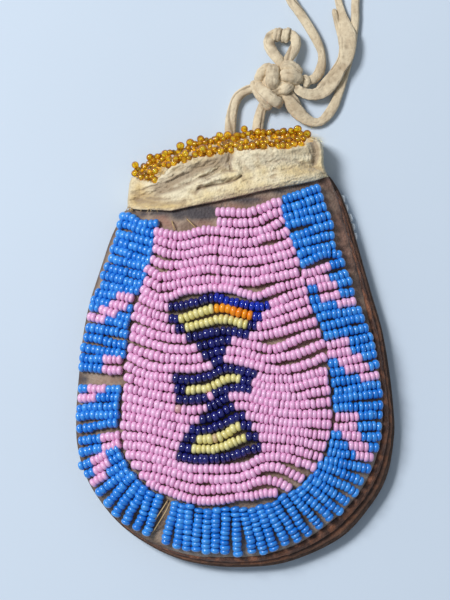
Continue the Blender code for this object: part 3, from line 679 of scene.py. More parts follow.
# %% Bands of the knot
KNOT_BANDS = [
    [
        (254, 81, 2.6, 1.7), (254.5, 87, 3.2, 1.9), (258.5, 95, 3.7, 2.0), (264.5, 102.5, 3.6, 2.1),
        (270.5, 109, 2.4, 1.9),
    ],
    [
        (257.5, 83, 3.2, 2.0), (261.5, 89.5, 4.4, 2.6), (268.5, 96, 4.9, 2.9), (276, 101.5, 4.2, 2.9),
        (281, 105, 2.6, 2.4),
    ],
    [
        (273.5, 66, 3.4, 2.6), (272.8, 71, 4.7, 3.4), (272.2, 77, 5.1, 3.5), (272, 83.5, 4.7, 3.3),
        (273, 88.5, 3.2, 2.6),
    ],
    [
        (272, 66.5, 2.8, 2.0), (266.5, 68.5, 3.6, 2.5), (261.5, 73.5, 3.8, 2.8), (258.8, 80, 3.2, 2.6),
        (259, 86, 2.2, 2.2),
    ],
    [
        (281.5, 72, 3.0, 2.2), (285, 66.8, 4.1, 2.7), (290, 66, 4.2, 2.8), (295.5, 69.5, 3.7, 2.7),
        (301, 74, 2.8, 2.0),
    ],
    [
        (282, 79, 3.0, 2.6), (285.5, 75.5, 4.4, 3.2), (291, 75.5, 4.6, 3.5), (296.5, 78.2, 3.8, 3.2),
        (300.5, 81.5, 2.6, 2.2),
    ],
    [(280.5, 90, 2.8, 2.2), (284, 89.5, 4.0, 2.8), (288, 87.5, 4.0, 2.7), (291, 85.5, 2.8, 2.0)],
    [(303, 77, 2.4, 1.6), (306.5, 79, 2.9, 1.8), (307.5, 83, 2.6, 1.8), (304, 86.5, 2.2, 1.8)],
    [(262, 84, 2.4, 4.2), (272, 88, 2.6, 4.6), (281, 86, 2.6, 4.6), (291, 82, 2.4, 4.2)],
    [(264, 72, 2.4, 3.2), (266, 80, 2.6, 3.4), (268, 88, 2.6, 3.4), (272, 97, 2.6, 3.4)],
    [(279, 70, 2.4, 3.0), (280, 79, 2.6, 3.4), (281, 88, 2.6, 3.2), (280, 96, 2.4, 2.8)],
]


def tie_knot():
    """The knot's short strands in one mesh."""
    parts, hollows = [], []
    for seed, route in enumerate(KNOT_BANDS, 11):
        band = smooth_curve(route_points(route), 24)
        corners, faces, hollow = strand_mesh(band, flat=0.88, fold=0.04, turns=0.15, seed=seed, step=0.0003)
        parts.append((corners, faces))
        hollows.append(hollow)
    made = make_object("thong_knot_bands", *join_meshes(parts), [THONG_HIDE])
    give_values(made, "hollow", np.concatenate(hollows))
    return seat(made, "thong_buckskin", "thong_knot")


knot = tie_knot()
print("bands in the knot:", len(KNOT_BANDS))

# %% The free cords
cord_lines = (left_line, right_line, ribbon_line, loop_line)
print("cords in all in mm:", round(sum(map(length_of, cord_lines)) * 1000))

# %% [markdown]
# ## Beads
# A seed bead is a short piece cut from a drawn glass tube and tumbled until its edges are round, so
# it is a rounded barrel with a hole. One barrel is turned here and set down once for each bead of
# the real pouch. No two are alike: each is a little longer, wider, tilted or paler than the next.


# %% The shape of one bead
def bead_shape(sides=14, steps=10, squareness=2.5, hole=0.3):
    """Points and faces of a bead 1 long and 2 wide, with its hole along x."""
    first = math.asin(hole ** (squareness / 2))
    turns = np.linspace(first, math.pi - first, steps)
    along = np.sign(np.cos(turns)) * np.abs(np.cos(turns)) ** (2 / squareness) / 2
    out = np.abs(np.sin(turns)) ** (2 / squareness)
    around = np.linspace(0, math.tau, sides, endpoint=False)
    points = [(x, r * math.cos(a), r * math.sin(a)) for x, r in zip(along, out) for a in around]
    faces = grid_faces(steps, sides, closed=True)
    last = (steps - 1) * sides
    faces += [(last + j, last + (j + 1) % sides, (j + 1) % sides, j) for j in range(sides)]
    return np.array(points), [face[::-1] for face in faces]


BARREL = bead_shape()
SMALL_BARREL = bead_shape(sides=8, steps=6, squareness=2.6)
BALL = bead_shape(sides=16, steps=11, squareness=2.05, hole=0.22)
print("points of one barrel:", len(BARREL[0]))

# %% [markdown]
# ### Many beads in one mesh
# Thousands of objects would be slow, and a particle system doesn't say which bead has which colour.
# All beads of a row are therefore one mesh: the barrel's points are turned, stretched and moved for
# every bead at once. The tint of each bead is kept on its points, where the glass can read it.

# %% Setting beads down
JITTER = {"tilt": 0.065, "length": 0.09, "width": 0.045, "shift": 0.00006}


def make_beads(name, beads, shape, materials):
    """One object of many beads. Each is (centre, axis, up, length, radius, material, tint)."""
    rng = np.random.default_rng(sum(map(ord, name)))
    points, faces = shape
    count = len(beads)
    centres, axes, ups, lengths, radii, glass, tints = map(np.array, zip(*beads))
    centres = centres + rng.normal(0, JITTER["shift"], (count, 3))
    axes = axes + rng.normal(0, JITTER["tilt"], (count, 3))
    axes /= np.linalg.norm(axes, axis=1)[:, None]
    sides = np.cross(ups, axes)
    sides /= np.linalg.norm(sides, axis=1)[:, None]
    lengths = lengths * rng.normal(1, JITTER["length"], count).clip(0.82, 1.2)
    radii = radii * rng.normal(1, JITTER["width"], count).clip(0.88, 1.1)
    centres[:, 2] = np.maximum(centres[:, 2], radii)
    wide = radii[:, None]
    frames = np.stack([axes * lengths[:, None], sides * wide, np.cross(axes, sides) * wide], axis=1)
    corners = (np.einsum("pk,nkd->npd", points, frames) + centres[:, None]).reshape(-1, 3)
    offsets = (np.arange(count) * len(points))[:, None, None]
    all_faces = (np.array(faces)[None] + offsets).reshape(-1, 4)
    piece = make_object(name, corners, all_faces.tolist(), materials, np.repeat(glass, len(faces)))
    give_values(piece, "tint", np.repeat(tints, len(points)))
    return piece


# %% [markdown]
# ### Bead glass
# These beads are opaque glass. Use has rubbed most of them dull, while the navy and cobalt ones
# still shine. Each batch of glass varied, so a bead leans more or less to a paler tone, and a few
# are stained. The reading of the tint is a group, because all the glass shares it.

# %% Glass in seven colours
# Each glass: its name, its colour, the one that paler beads lean to, its roughness and its coat.
GLASS = {
    "P": ("pink_glass", (0.86, 0.435, 0.70), (0.89, 0.51, 0.765), 0.36, 0.5),
    "B": ("blue_glass", (0.007, 0.205, 0.74), (0.045, 0.32, 0.86), 0.30, 0.9),
    "N": ("navy_glass", (0.010, 0.010, 0.110), (0.012, 0.013, 0.175), 0.08, 0.0),
    "C": ("cobalt_glass", (0.002, 0.013, 0.30), (0.005, 0.032, 0.46), 0.08, 0.0),
    "Y": ("yellow_glass", (0.76, 0.66, 0.235), (0.83, 0.75, 0.34), 0.32, 0.4),
    "O": ("orange_glass", (0.90, 0.25, 0.006), (0.95, 0.38, 0.012), 0.22, 0.3),
    "W": ("white_glass", (0.84, 0.88, 0.90), (0.94, 0.96, 0.97), 0.25, 0.5),
}
# Beads with this tint are stained; in the lower amber layer it gives painted shade.
STAINED_AND_SHADED_TINT = 2.0
STAINED_GLASS = (0.52, 0.30, 0.20)


def build_tint():
    """Reads each bead's tint: how far it leans to the paler colour, and whether it is a stained one, which in
    the lower amber layer is painted shade.
    """
    tree, _, result = new_group("bead_tint", {}, {"Pale": "Float", "Odd": "Float"})
    tint = kept_value(tree, "tint")
    tree.links.new(span(tree, tint, 0.0, 1.0), result["Pale"])
    tree.links.new(span(tree, tint, 1.2, 1.6, 0.0, 0.7), result["Odd"])
    return tree


TINT = build_tint()


def build_glass(name, base, paler, roughness, coat):
    """Opaque bead glass in one colour."""
    shine = {"Specular_IOR_Level": 0.5 if coat else 0.9, "Coat_Weight": coat, "Coat_Roughness": 0.20}
    paint, tree, shader = new_material(name, roughness, **shine)
    tint = use_group(tree, TINT)
    body = mix_colours(tree, tint["Pale"], base, paler)
    tree.links.new(mix_colours(tree, tint["Odd"], body, STAINED_GLASS), shader.inputs["Base Color"])
    return paint


GLASS_PAINTS = {letter: build_glass(*glass) for letter, glass in GLASS.items()}
print("glass:", [paint.name for paint in GLASS_PAINTS.values()])

# %% [markdown]
# ## Where each bead lies
# A lane or a row is a thread with a known number of beads, written as runs of colour such as
# B5 P4. The beads share its length evenly, and each rests on the domed leather with its hole along
# the thread.

# %% Beads along a line
BEAD_RADIUS = 0.00118
BEAD_LENGTH_SHARE = 1.17
LANE_BEAD_SQUARES = 4.9
SEAM_AT = 219.5
ODD_BEADS = [(180, 408), (216, 440)]
ODD_REACH = 3


def front_normals(points):
    """Which way the front's face looks at these points."""
    step = 0.0005
    xy = points[:, :2]
    slope = [
        (front_top(xy + shift) - front_top(xy - shift)) / (2 * step)
        for shift in (np.array((step, 0)), np.array((0, step)))
    ]
    normals = np.stack([-slope[0], -slope[1], np.ones(len(xy))], axis=1)
    return normals / np.linalg.norm(normals, axis=1)[:, None]


def spread_beads(runs, line):
    """The letter of each bead of a thread, and the share of the thread at which it lies.

    A single letter fills the thread. In a run such as P7/169 the last figure is the chart place,
    counted across, at which it ends.
    """
    if len(runs) == 1:
        count = max(2, round(length_of(line) / LANE_BEAD_SQUARES))
        return runs * count, (np.arange(count) + 0.5) / count
    parts = [part.partition("/") for part in runs.split()]
    counts = [int(part[0][1:]) for part in parts]
    ends = np.cumsum(counts) / sum(counts)
    for i, (_, _, across) in enumerate(parts):
        if across:
            ends[i] = np.interp(float(across), line[:, 0], np.linspace(0, 1, len(line)))
    shares = [
        start + (end - start) * (np.arange(count) + 0.5) / count
        for start, end, count in zip([0, *ends], ends, counts)
    ]
    return "".join(part[0][0] * count for part, count in zip(parts, counts)), np.concatenate(shares)


# %% Beads on a thread
def thread_beads(runs, route, rng, letters, seam_gap=0.0):
    """The beads on one thread, and the thread's own line."""
    curve = smooth_curve(route, 60)
    colours, shares = spread_beads(runs, curve)
    places = along_route(curve, shares)
    off = places[:, 0] - SEAM_AT
    places[:, 0] += seam_gap * np.tanh(off) * np.exp(-((off / 7) ** 2))
    centres = on_front(places, BEAD_RADIUS)
    ahead = np.gradient(centres, axis=0)
    pitch = np.linalg.norm(ahead, axis=1)
    normals = front_normals(centres)
    beads = []
    for i, colour in enumerate(colours):
        odd = min(math.dist(places[i], spot) for spot in ODD_BEADS) < ODD_REACH
        tint = STAINED_AND_SHADED_TINT if odd else rng.random()
        size = (pitch[i] * BEAD_LENGTH_SHARE, BEAD_RADIUS)
        beads.append((centres[i], ahead[i] / pitch[i], normals[i], *size, letters.index(colour), tint))
    ends = on_front(along_route(route, [0.0, 1.0]), 0.0002)
    return beads, np.concatenate([ends[:1], centres, ends[1:]])


# %% [markdown]
# ### The border's chart
# The border is sewn in short lanes that turn with the edge, from the left of the mouth round the
# foot to the right. Most are blue, and pink bars step across them in groups. One lane on the left
# and one at the foot have lost their beads, so their places stay bare.

# %% Lanes of the border
# Outer end, inner end and runs of each lane
LANES = [
    (121, 216, 159, 223, 'B'), (119, 224, 155, 234, 'B'), (117, 233, 154, 244, 'B'),
    (115, 241, 153, 253, 'B'), (111, 249, 151, 261, 'B'), (110, 258, 147, 267, 'B'),
    (106, 266, 147, 277, 'B'), (102, 275, 143, 284, 'B'), (101, 285, 140, 291, 'B'),
    (96, 292, 134, 299, 'B5 P4'), (92, 300, 133, 309, 'B4 P4 B1'), (91, 307, 131, 319, 'B2 P4 B3'),
    (88, 316, 128, 326, 'P4 B5'), (87, 327, 129, 335, 'B'), (85, 337, 127, 345, 'B'),
    (82, 347, 126, 354, 'B'), (81, 357, 122, 360, 'B5 P4'), (80, 367, 122, 370, 'B5 P4'),
    (79, 389, 121, 389, 'B2 P4 B3'), (79, 398, 120, 398, 'P4 B5'), (78, 409, 119, 406, 'B'),
    (77, 417, 119, 414, 'B'), (78, 429, 118, 423, 'B'), (79, 441, 120, 435, 'B5 P4'),
    (80, 453, 121, 443, 'B5 P4'), (80, 466, 119, 448, 'B3 P4 B3'), (86, 475, 122, 455, 'B2 P4 B3'),
    (92, 484, 127, 462, 'P4 B5'), (98, 494, 129, 470, 'B'), (106, 505, 135, 474, 'B'),
    (115, 515, 140, 481, 'B'), (125, 524, 145, 486, 'B'), (136, 529, 152, 491, 'B'),
    (146, 535, 160, 494, 'B'), (165, 544, 175, 501, 'B'), (176, 548, 183, 503, 'B'),
    (186, 550, 190, 504, 'B'), (196, 551, 199, 508, 'B'), (206, 553, 208, 509, 'B'),
    (215, 553, 217, 508, 'B'), (225, 554, 226, 507, 'B'), (238, 556, 235, 507, 'B'),
    (252, 553, 243, 507, 'B'), (264, 554, 251, 508, 'B'), (275, 550, 258, 505, 'B'),
    (286, 545, 267, 504, 'B'), (299, 541, 274, 501, 'B'), (310, 535, 281, 495, 'B'),
    (321, 527, 290, 492, 'B'), (331, 519, 297, 488, 'B'), (342, 513, 303, 483, 'B'),
    (348, 503, 308, 477, 'B'), (357, 494, 315, 472, 'B'), (363, 482, 318, 464, 'B'),
    (370, 469, 324, 460, 'B'), (373, 458, 327, 451, 'P4 B6'), (378, 448, 329, 443, 'B2 P4 B4'),
    (381, 436, 331, 435, 'B4 P4 B2'), (381, 426, 334, 427, 'B5 P5'), (382, 415, 335, 417, 'B5 P5'),
    (382, 405, 334, 409, 'B'), (382, 393, 333, 400, 'B'), (380, 385, 334, 392, 'B'),
    (379, 375, 331, 383, 'P4 B6'), (378, 364, 330, 373, 'B2 P5 B3'), (376, 354, 328, 364, 'B3 P5 B2'),
    (374, 346, 327, 355, 'B5 P5'), (372, 336, 327, 346, 'B5 P5'), (368, 328, 323, 336, 'B'),
    (364, 318, 321, 327, 'B'), (361, 310, 317, 318, 'B'), (356, 301, 313, 309, 'P4 B5'),
    (354, 292, 310, 300, 'B3 P4 B2'), (351, 280, 308, 290, 'B3 P4 B2'), (347, 273, 306, 283, 'B4 P5'),
    (344, 262, 302, 274, 'B3 P6'), (341, 255, 300, 265, 'B'), (335, 244, 297, 255, 'B'),
    (334, 235, 293, 245, 'B'), (333, 224, 290, 238, 'B'), (330, 215, 286, 226, 'B'),
    (326, 206, 284, 218, 'B'), (323, 197, 282, 209, 'B'), (319, 187, 283, 200, 'B'),
]
# Lanes that aren't straight: their number in the list and the places that they pass.
KINKED = {0: [(132, 218), (142, 224), (150, 224)], 76: [(332, 253), (323, 254), (315, 258)]}
LANE_SAG = 0.5
LANE_WAVE = 0.7
BORDER_PARTS = {
    "border_beads_left": range(0, 28),
    "border_beads_foot": range(28, 56),
    "border_beads_right": range(56, 84),
}
print("lanes:", len(LANES))

# %% [markdown]
# ### The border's beads
# Hand-sewn lanes are never quite straight, so each sags and waves by a fraction of a bead. The
# border is three pieces, left, foot and right, and each lane's thread is kept for the sinew.


# %% Beads of the border
def lane_route(number):
    """A lane's places on the chart: straight, but for a little sag or a kink."""
    x, y, inner_x, inner_y, _ = LANES[number]
    if number in KINKED:
        return [(x, y), *KINKED[number], (inner_x, inner_y)]
    sag = LANE_SAG * math.sin(number * 0.7)
    middle = np.array(((x + inner_x) / 2, (y + inner_y) / 2))
    across = np.array((inner_y - y, x - inner_x)) / math.dist((x, y), (inner_x, inner_y))
    wave = LANE_WAVE * math.sin(number * 1.9)
    spots = [(x, y), middle + across * (sag + wave) + ((x, y) - middle) / 2, middle + across * sag]
    return [*spots, middle + across * (sag - wave) - ((x, y) - middle) / 2, (inner_x, inner_y)]


THREADS = []
bead_count = 0
for name, numbers in BORDER_PARTS.items():
    rng = random.Random(name)
    beads = []
    for number in numbers:
        more, line = thread_beads(LANES[number][4], lane_route(number), rng, "BP")
        beads += more
        THREADS.append(line)
    bead_count += len(beads)
    seat(make_beads(name, beads, BARREL, [GLASS_PAINTS["B"], GLASS_PAINTS["P"]]), "seed_beads", "front_panel")
print("beads in the border:", bead_count)

# %% [markdown]
# ### The rows' chart
# The middle is filled with rows that run from border to border. They rise and fall, because the
# beads were sewn down on soft leather that has stretched. Navy, cobalt, yellow and orange runs in
# neighbouring rows build the stacked triangles, as a knitter's pattern does.

# %% Rows across the middle
ROWS = [
    ("P13", [(215, 212), (230, 212), (240, 213), (250, 212), (260, 209), (272, 204), (282, 201)]),
    ("P13", [(217, 222), (240, 223), (258, 221), (265, 217), (272, 214), (283, 211)]),
    ("P28", [(155, 231), (163, 233), (180, 236), (190, 234), (205, 230), (230, 232), (245, 233),
        (260, 231), (270, 228), (278, 223), (284, 219)]),
    ("P29", [(154, 239), (170, 244), (180, 246), (190, 244), (210, 240), (233, 243), (252, 242),
        (266, 237), (282, 234), (289, 230)]),
    ("P30", [(154, 248), (166, 253), (185, 255), (210, 249), (233, 252), (255, 252), (272, 249),
        (292, 242)]),
    ("P30", [(151, 258), (163, 264), (180, 265), (210, 260), (242, 262), (260, 260), (280, 256),
        (296, 250)]),
    ("P32", [(145, 268), (156, 274), (162, 277), (190, 272), (210, 269), (241, 272), (260, 271),
        (299, 261)]),
    ("P32", [(144, 280), (156, 285), (163, 287), (200, 280), (218, 280), (250, 282), (266, 279),
        (299, 272)]),
    ("P34", [(141, 289), (158, 297), (172, 296), (185, 291), (205, 289), (227, 288), (246, 294),
        (258, 296), (268, 292), (279, 288), (305, 281)]),
    ("P7/169 N9/214 C11/270 P8", [(140, 297), (153, 304), (169, 307), (190, 304), (213, 298),
        (232, 302), (258, 307), (272, 304), (290, 296), (307, 290)]),
    ("P8/169 N2/179 Y7/214 O7/253 C2/262 P10", [(136, 306), (150, 313), (177, 319), (192, 315),
        (207, 310), (222, 308), (238, 312), (259, 317), (275, 312), (309, 299)]),
    ("P9/176 N2/185 Y13/248 N2/257 P12", [(133, 315), (152, 323), (176, 329), (205, 323), (220, 319),
        (234, 321), (254, 326), (272, 323), (312, 309)]),
    ("P11/187 N11/249 P14", [(132, 327), (155, 335), (172, 338), (186, 338), (208, 334), (223, 331),
        (240, 333), (256, 336), (275, 333), (317, 321)]),
    ("P12/197 N6/232 P18", [(131, 336), (155, 345), (172, 349), (187, 349), (210, 344), (229, 340),
        (247, 344), (271, 349), (283, 346), (306, 336), (321, 333)]),
    ("P14/203 N4/226 P20", [(129, 347), (149, 354), (165, 358), (193, 359), (208, 355), (226, 350),
        (253, 355), (266, 359), (297, 354), (309, 349), (325, 343)]),
    ("P16/212 N2/224 P20", [(128, 356), (137, 360), (150, 366), (168, 368), (194, 369), (208, 366),
        (224, 359), (256, 365), (266, 368), (282, 370), (307, 364), (326, 356)]),
    ("P11/173 N15/257 P16", [(125, 365), (137, 371), (155, 377), (172, 378), (190, 380), (210, 376),
        (224, 369), (242, 371), (256, 375), (271, 379), (298, 378), (328, 370)]),
    ("P10/175 N2/186 Y11/241 N2/252 P16", [(124, 377), (150, 384), (172, 388), (190, 390), (204, 389),
        (217, 384), (229, 378), (243, 380), (256, 383), (268, 387), (294, 388), (308, 383),
        (328, 380)]),
    ("P11/177 N5/208 P1/213 N7/252 P16", [(124, 387), (150, 394), (172, 398), (190, 400), (206, 398),
        (221, 391), (236, 388), (246, 389), (256, 392), (270, 395), (298, 397), (312, 393),
        (331, 390)]),
    ("P16/208 N5/229 P20", [(123, 396), (150, 403), (174, 408), (190, 410), (206, 408), (218, 403),
        (229, 397), (244, 396), (256, 399), (270, 403), (298, 405), (331, 402)]),
    ("P16/200 N6/235 P20", [(123, 406), (150, 412), (174, 417), (190, 420), (204, 419), (218, 415),
        (235, 406), (252, 407), (264, 410), (277, 412), (295, 414), (332, 414)]),
    ("P15/190 N10/246 P18", [(122, 415), (150, 421), (177, 427), (192, 430), (206, 430), (219, 426),
        (242, 416), (262, 418), (289, 423), (310, 423), (331, 425)]),
    ("P12/184 N2/197 Y9/241 N2/252 P18", [(121, 425), (145, 428), (177, 436), (197, 439), (210, 439),
        (222, 436), (241, 426), (268, 429), (298, 432), (330, 436)]),
    ("P12/180 N2/192 Y12/246 N2/259 P15", [(123, 435), (148, 438), (177, 446), (194, 449), (212, 449),
        (226, 446), (248, 437), (275, 438), (292, 440), (326, 447)]),
    ("P12/177 N16/262 P13", [(124, 445), (145, 447), (177, 456), (197, 459), (224, 458), (240, 453),
        (258, 448), (276, 448), (294, 450), (322, 458)]),
    ("P37", [(126, 455), (144, 456), (160, 460), (184, 467), (202, 469), (236, 468), (250, 464),
        (264, 457), (282, 457), (300, 462), (316, 468)]),
    ("P34", [(131.5, 465), (152, 467), (166, 470), (188, 477), (208, 479), (236, 478), (252, 473),
        (265, 467), (280, 468), (304, 480)]),
    ("P30", [(140, 475), (162, 479), (186, 487), (204, 490), (230, 488), (244, 487), (256, 482),
        (268, 480), (280, 483), (291, 489)]),
    ("P28", [(147, 481.5), (156, 486), (168, 491), (187, 498), (204, 501), (223, 500), (237, 497),
        (252, 496), (265, 493), (278, 493)]),
]
# Rows 3 to 9 part a little at the middle of the pouch, where the old sewing thread went down.
SEAM_ROWS, SEAM_GAP = range(3, 10), 0.6
print("rows:", len(ROWS))

# %% [markdown]
# ### The rows' beads
# Each row is a piece of its own and stands for the solid ridge of the same number. Places of dark
# beads are kept, because the leather beside them is painted with a dark blue shade.

# %% Beads of the rows
row_count, dark_glass = 0, []
for number, (runs, route) in enumerate(ROWS, 1):
    letters = "".join(dict.fromkeys(run[0] for run in runs.split()))
    seam_gap = SEAM_GAP if number in SEAM_ROWS else 0.0
    beads, line = thread_beads(runs, route, random.Random(number), letters, seam_gap)
    row_count += len(beads)
    dark_glass += [bead[0] for bead in beads if letters[bead[5]] in "NC"]
    THREADS.append(line)
    piece = make_beads(f"row_{number:02d}_beads", beads, BARREL, [GLASS_PAINTS[letter] for letter in letters])
    seat(piece, "seed_beads", f"bead_row_{number:02d}")
print("beads in the rows:", row_count)

# %% [markdown]
# ## Sinew
# The beads are strung on split sinew, which shows wherever two beads part and at both ends of a
# thread, where it goes down into the leather. It is one thin tube a thread. Where beads are lost,
# the loose ends curl up from the leather.

# %% A thin tube
THREAD_RADIUS = 0.00016
SINEW_COLOUR = (0.52, 0.36, 0.17)


def tube_mesh(line, radius, sides=5):
    """Points and faces of a thin round tube along a line."""
    _, side, up = frames_along(line)
    angles = np.linspace(0, math.tau, sides, endpoint=False)
    around = np.cos(angles)[:, None] * side[:, None] + np.sin(angles)[:, None] * up[:, None]
    rings = line[:, None] + radius * around
    faces = grid_faces(len(line), sides, closed=True)
    faces += [tuple(range(sides))[::-1], tuple(range((len(line) - 1) * sides, len(line) * sides))]
    return rings.reshape(-1, 3), faces


def build_sinew():
    """Dried sinew, tan and slightly shiny."""
    paint, _, shader = new_material("sinew", roughness=0.45)
    shader.inputs["Base Color"].default_value = (*SINEW_COLOUR, 1)
    return paint


SINEW = build_sinew()
print("finish:", SINEW.name)

# %% The threads
# Loose ends: chart places with their height over the leather in millimetres
LOOSE_SINEW = [
    [(168, 500, 0.4), (163, 508, 1.5), (157, 517, 1.7), (150, 527, 0.9), (147, 532, 0.5)],
    [(170, 502, 0.4), (166, 511, 1.8), (160, 521, 1.9), (155, 529, 1.0), (152, 533, 0.5)],
    [(187, 219, 0.3), (190, 222, 1.3), (193, 225, 1.4), (197, 229, 0.8)],
    [(172, 221, 0.3), (173, 225, 1.0), (175, 230, 0.6)],
]
loose = []
for route in LOOSE_SINEW:
    route = smooth_curve(route, 14)
    loose.append(on_front(route[:, :2], route[:, 2] / 1000))
corners, faces = join_meshes([tube_mesh(line, THREAD_RADIUS) for line in THREADS + loose])
seat(make_object("sinew_threads", corners, faces, [SINEW]), "leather")
print("threads:", len(THREADS), "loose ends:", len(loose))

# %% [markdown]
# ## Leather
# The front is one domed sheet of tanned hide, the back one flat sheet. A square grid would leave
# their cut edges ragged. Here each is made of rings that shrink from the edge to the spine, closest
# together near the edge, and a modifier gives it its thickness.

# %% A sheet of rings
EDGE_STATIONS = 260


def sheet_rings(edge, rings, height_of):
    """Points and faces of rings that shrink from an edge in the plan to the spine, where the two
    sides of the last ring are one. Also how far out each point lies, from 0 to 1."""
    along = SPINE[1] - SPINE[0]
    share = np.minimum(1, (edge - SPINE[0]) @ along / (along @ along))
    foot = SPINE[0] + share[:, None] * along
    levels = 1 - np.linspace(0, 1, rings) ** 1.3
    xy = np.concatenate([foot + (edge - foot) * level for level in levels])
    count, half, last = len(edge), len(edge) // 2, (rings - 1) * len(edge)
    xy[last : last + half] = (xy[last : last + half] + xy[last + half :][::-1]) / 2
    xy, out = xy[:-half], np.repeat(levels, count)[:-half]
    mirror = 2 * last + count - 1
    faces = [
        tuple(dict.fromkeys(corner if corner < last + half else mirror - corner for corner in face))
        for face in grid_faces(rings, count)
    ]
    return np.column_stack([xy, height_of(xy)]), faces, out


def thicken(piece, thickness):
    """Gives a sheet its thickness below the modelled face."""
    solid = piece.modifiers.new("thickness", "SOLIDIFY")
    solid.thickness = thickness
    solid.offset = -1


# %% [markdown]
# ### Marks and unevenness
# Damp, dye and hands have marked the leather in places that can be pointed at. Each mark is a soft
# spot with a place, a size and a strength, kept as a value on the points. Noise breaks up its edge
# and makes the sheet a little uneven.


# %% Marks and unevenness
def blotches(places, spots):
    """How strong soft spots are at these places. A spot is (x, y, half width, half height, strength)."""
    return sum(
        strength * np.exp(-(((places[:, 0] - x) / wide) ** 2) - ((places[:, 1] - y) / high) ** 2)
        for x, y, wide, high, strength in spots
    )


def rough(points, scale, depth):
    """A soft unevenness at these points."""
    return depth * np.array([noise.fractal(Vector(point) * scale, 1.0, 2.0, 4) for point in points.tolist()])


# %% [markdown]
# ### Tanned leather
# The dressed hide is brown in two tones with dark pores, reddish where it is worn near the rim,
# paler on its bare margin at the foot, and a bluish-black painted shade lies on it under the cuff
# and beside the dark beads. One material does all of it, and the marks on the points say where
# each tone shows.

# %% Finish of the panels
BARE_MARGIN = (0.42, 0.35, 0.31)
# The bluish-black tone is painted shade: the shadow under the cuff and beside the dark beads.
RED_TONE, PAINTED_SHADE_TONE = (0.33, 0.17, 0.12), (0.035, 0.036, 0.050)
BODY_TONE, WORN_TONE, DEEP_TONE = (0.225, 0.148, 0.104), (0.370, 0.272, 0.200), (0.078, 0.044, 0.034)


def build_leather(name, body, worn, deep):
    """Tanned hide: its main colour, a worn one and the colour of its hollows."""
    paint, tree, shader = new_material(name, roughness=0.68)
    grain = use_group(tree, GRAIN)["Height"]
    patches = use_group(tree, STAINS, Size=210.0, Cover=0.42, Edge=0.16)["Mask"]
    skin = mix_colours(tree, patches, body, worn)
    colour = mix_colours(tree, span(tree, grain, 0.30, 0.75, 0.5, 0.0), skin, deep)
    for mark, least, most, tone in (
        ("margin", 0.0, 0.7, BARE_MARGIN),
        ("ruddy", 0.1, 0.85, RED_TONE),
        # The bluish-black mark is painted shade.
        ("cast", 0.1, 0.85, PAINTED_SHADE_TONE),
        ("hollow", 0.1, 0.9, deep),
    ):
        strength = span(tree, kept_value(tree, mark), least, 1.0, 0.0, most)
        colour = mix_colours(tree, strength, colour, tone)
    tree.links.new(colour, shader.inputs["Base Color"])
    bumps(tree, shader, grain, 0.00034)
    return paint


PANEL_LEATHER = build_leather("panel_leather", BODY_TONE, WORN_TONE, DEEP_TONE)
print("finish:", PANEL_LEATHER.name)

# %% The front panel
front_edge = seen(smooth_curve(FRONT_EDGE, EDGE_STATIONS), FRONT_TOP)[:, :2]
front_points, faces, out = sheet_rings(front_edge, 30, front_top)
front_points[:, 2] += rough(front_points, 260, 0.00012) - 0.0003 * np.clip((out - 0.97) / 0.03, 0, 1) ** 2
front_leather = make_object("front_leather", front_points, faces, [PANEL_LEATHER])
thicken(front_leather, FRONT_LEATHER)
seat(front_leather, "leather", "front_panel")
print("points of the front panel:", len(front_points))

# %% [markdown]
# ### Marks and painted shade on the front
# Red-brown spots lie on the bare leather under the cuff, and blue-black ones there are painted
# shadow of the cuff. Beside the dark beads the leather is painted with a dark blue shade. Towards
# the rim the panel turns over its edge and is worn, but not on the left, where beads cover it, nor
# at the foot, where the margin is bare and pale.

# %% Marks on the front
# Each spot: chart place, half sizes and strength
# Blue-black spots: painted shade, most of it the shadow under the cuff's foot.
PAINTED_SHADE_SPOTS = [
    (196, 212, 18, 5, 2.8), (180, 214, 12, 4, 2.0), (207, 212, 9, 7, 1.8), (152, 213, 12, 3, 1.6),
    (246, 200, 22, 3, 1.4), (285, 192, 20, 2.5, 1.0), (84, 379, 5, 4, 1.2),
]
RED_BROWN = [
    (162, 220, 7, 5, 2.2), (205, 223, 9, 4, 0.8), (172, 225, 6, 3, 0.8), (228, 206, 12, 3, 1.2),
    (266, 200, 10, 3, 1.0), (148, 215, 6, 3, 0.5), (108, 379, 12, 4, 0.5),
]
unevenness = 1 + rough(front_points, 330, 1.0)
left_side = np.clip((-0.012 - front_points[:, 0]) / 0.006, 0, 1)
foot_side = np.clip((-0.016 - front_points[:, 1]) / 0.008, 0, 1)
turned_edge = (1 - left_side) * (1 - foot_side) * np.clip((out - 0.80) / 0.06, 0, 1)
# Beside the navy and cobalt beads the leather is painted with a dark blue shade.
from_glass = front_points[:, None, :2] - np.array(dark_glass)[None, :, :2]
glass_shade = 0.85 * np.exp(-((np.linalg.norm(from_glass, axis=2).min(axis=1) / 0.0016) ** 2))
rubbed = 0.7 * turned_edge * unevenness
# The first mark is painted shade, the second red-brown stain and wear.
for title, spots, more in (("cast", PAINTED_SHADE_SPOTS, glass_shade), ("ruddy", RED_BROWN, rubbed)):
    spots = [(*on_front([spot[:2]])[0, :2], spot[2] * SQUARE, spot[3] * SQUARE, spot[4]) for spot in spots]
    stain_and_shade = blotches(front_points, spots) * unevenness
    stain_and_shade += more
    give_values(front_leather, title, np.clip(stain_and_shade, 0, 1))
worn_edge = turned_edge * (0.26 + rough(front_points, 420, 1.0))
dark_edge = 0.75 * left_side * np.clip((out - 0.955) / 0.03, 0, 1)
give_values(front_leather, "hollow", np.clip(dark_edge + worn_edge, 0, 1))
give_values(front_leather, "margin", (1 - left_side) * foot_side * np.clip((out - 0.88) / 0.05, 0, 1))
print("share of the front in the bare margin:", round(float(np.mean(foot_side * (out > 0.88))), 2))

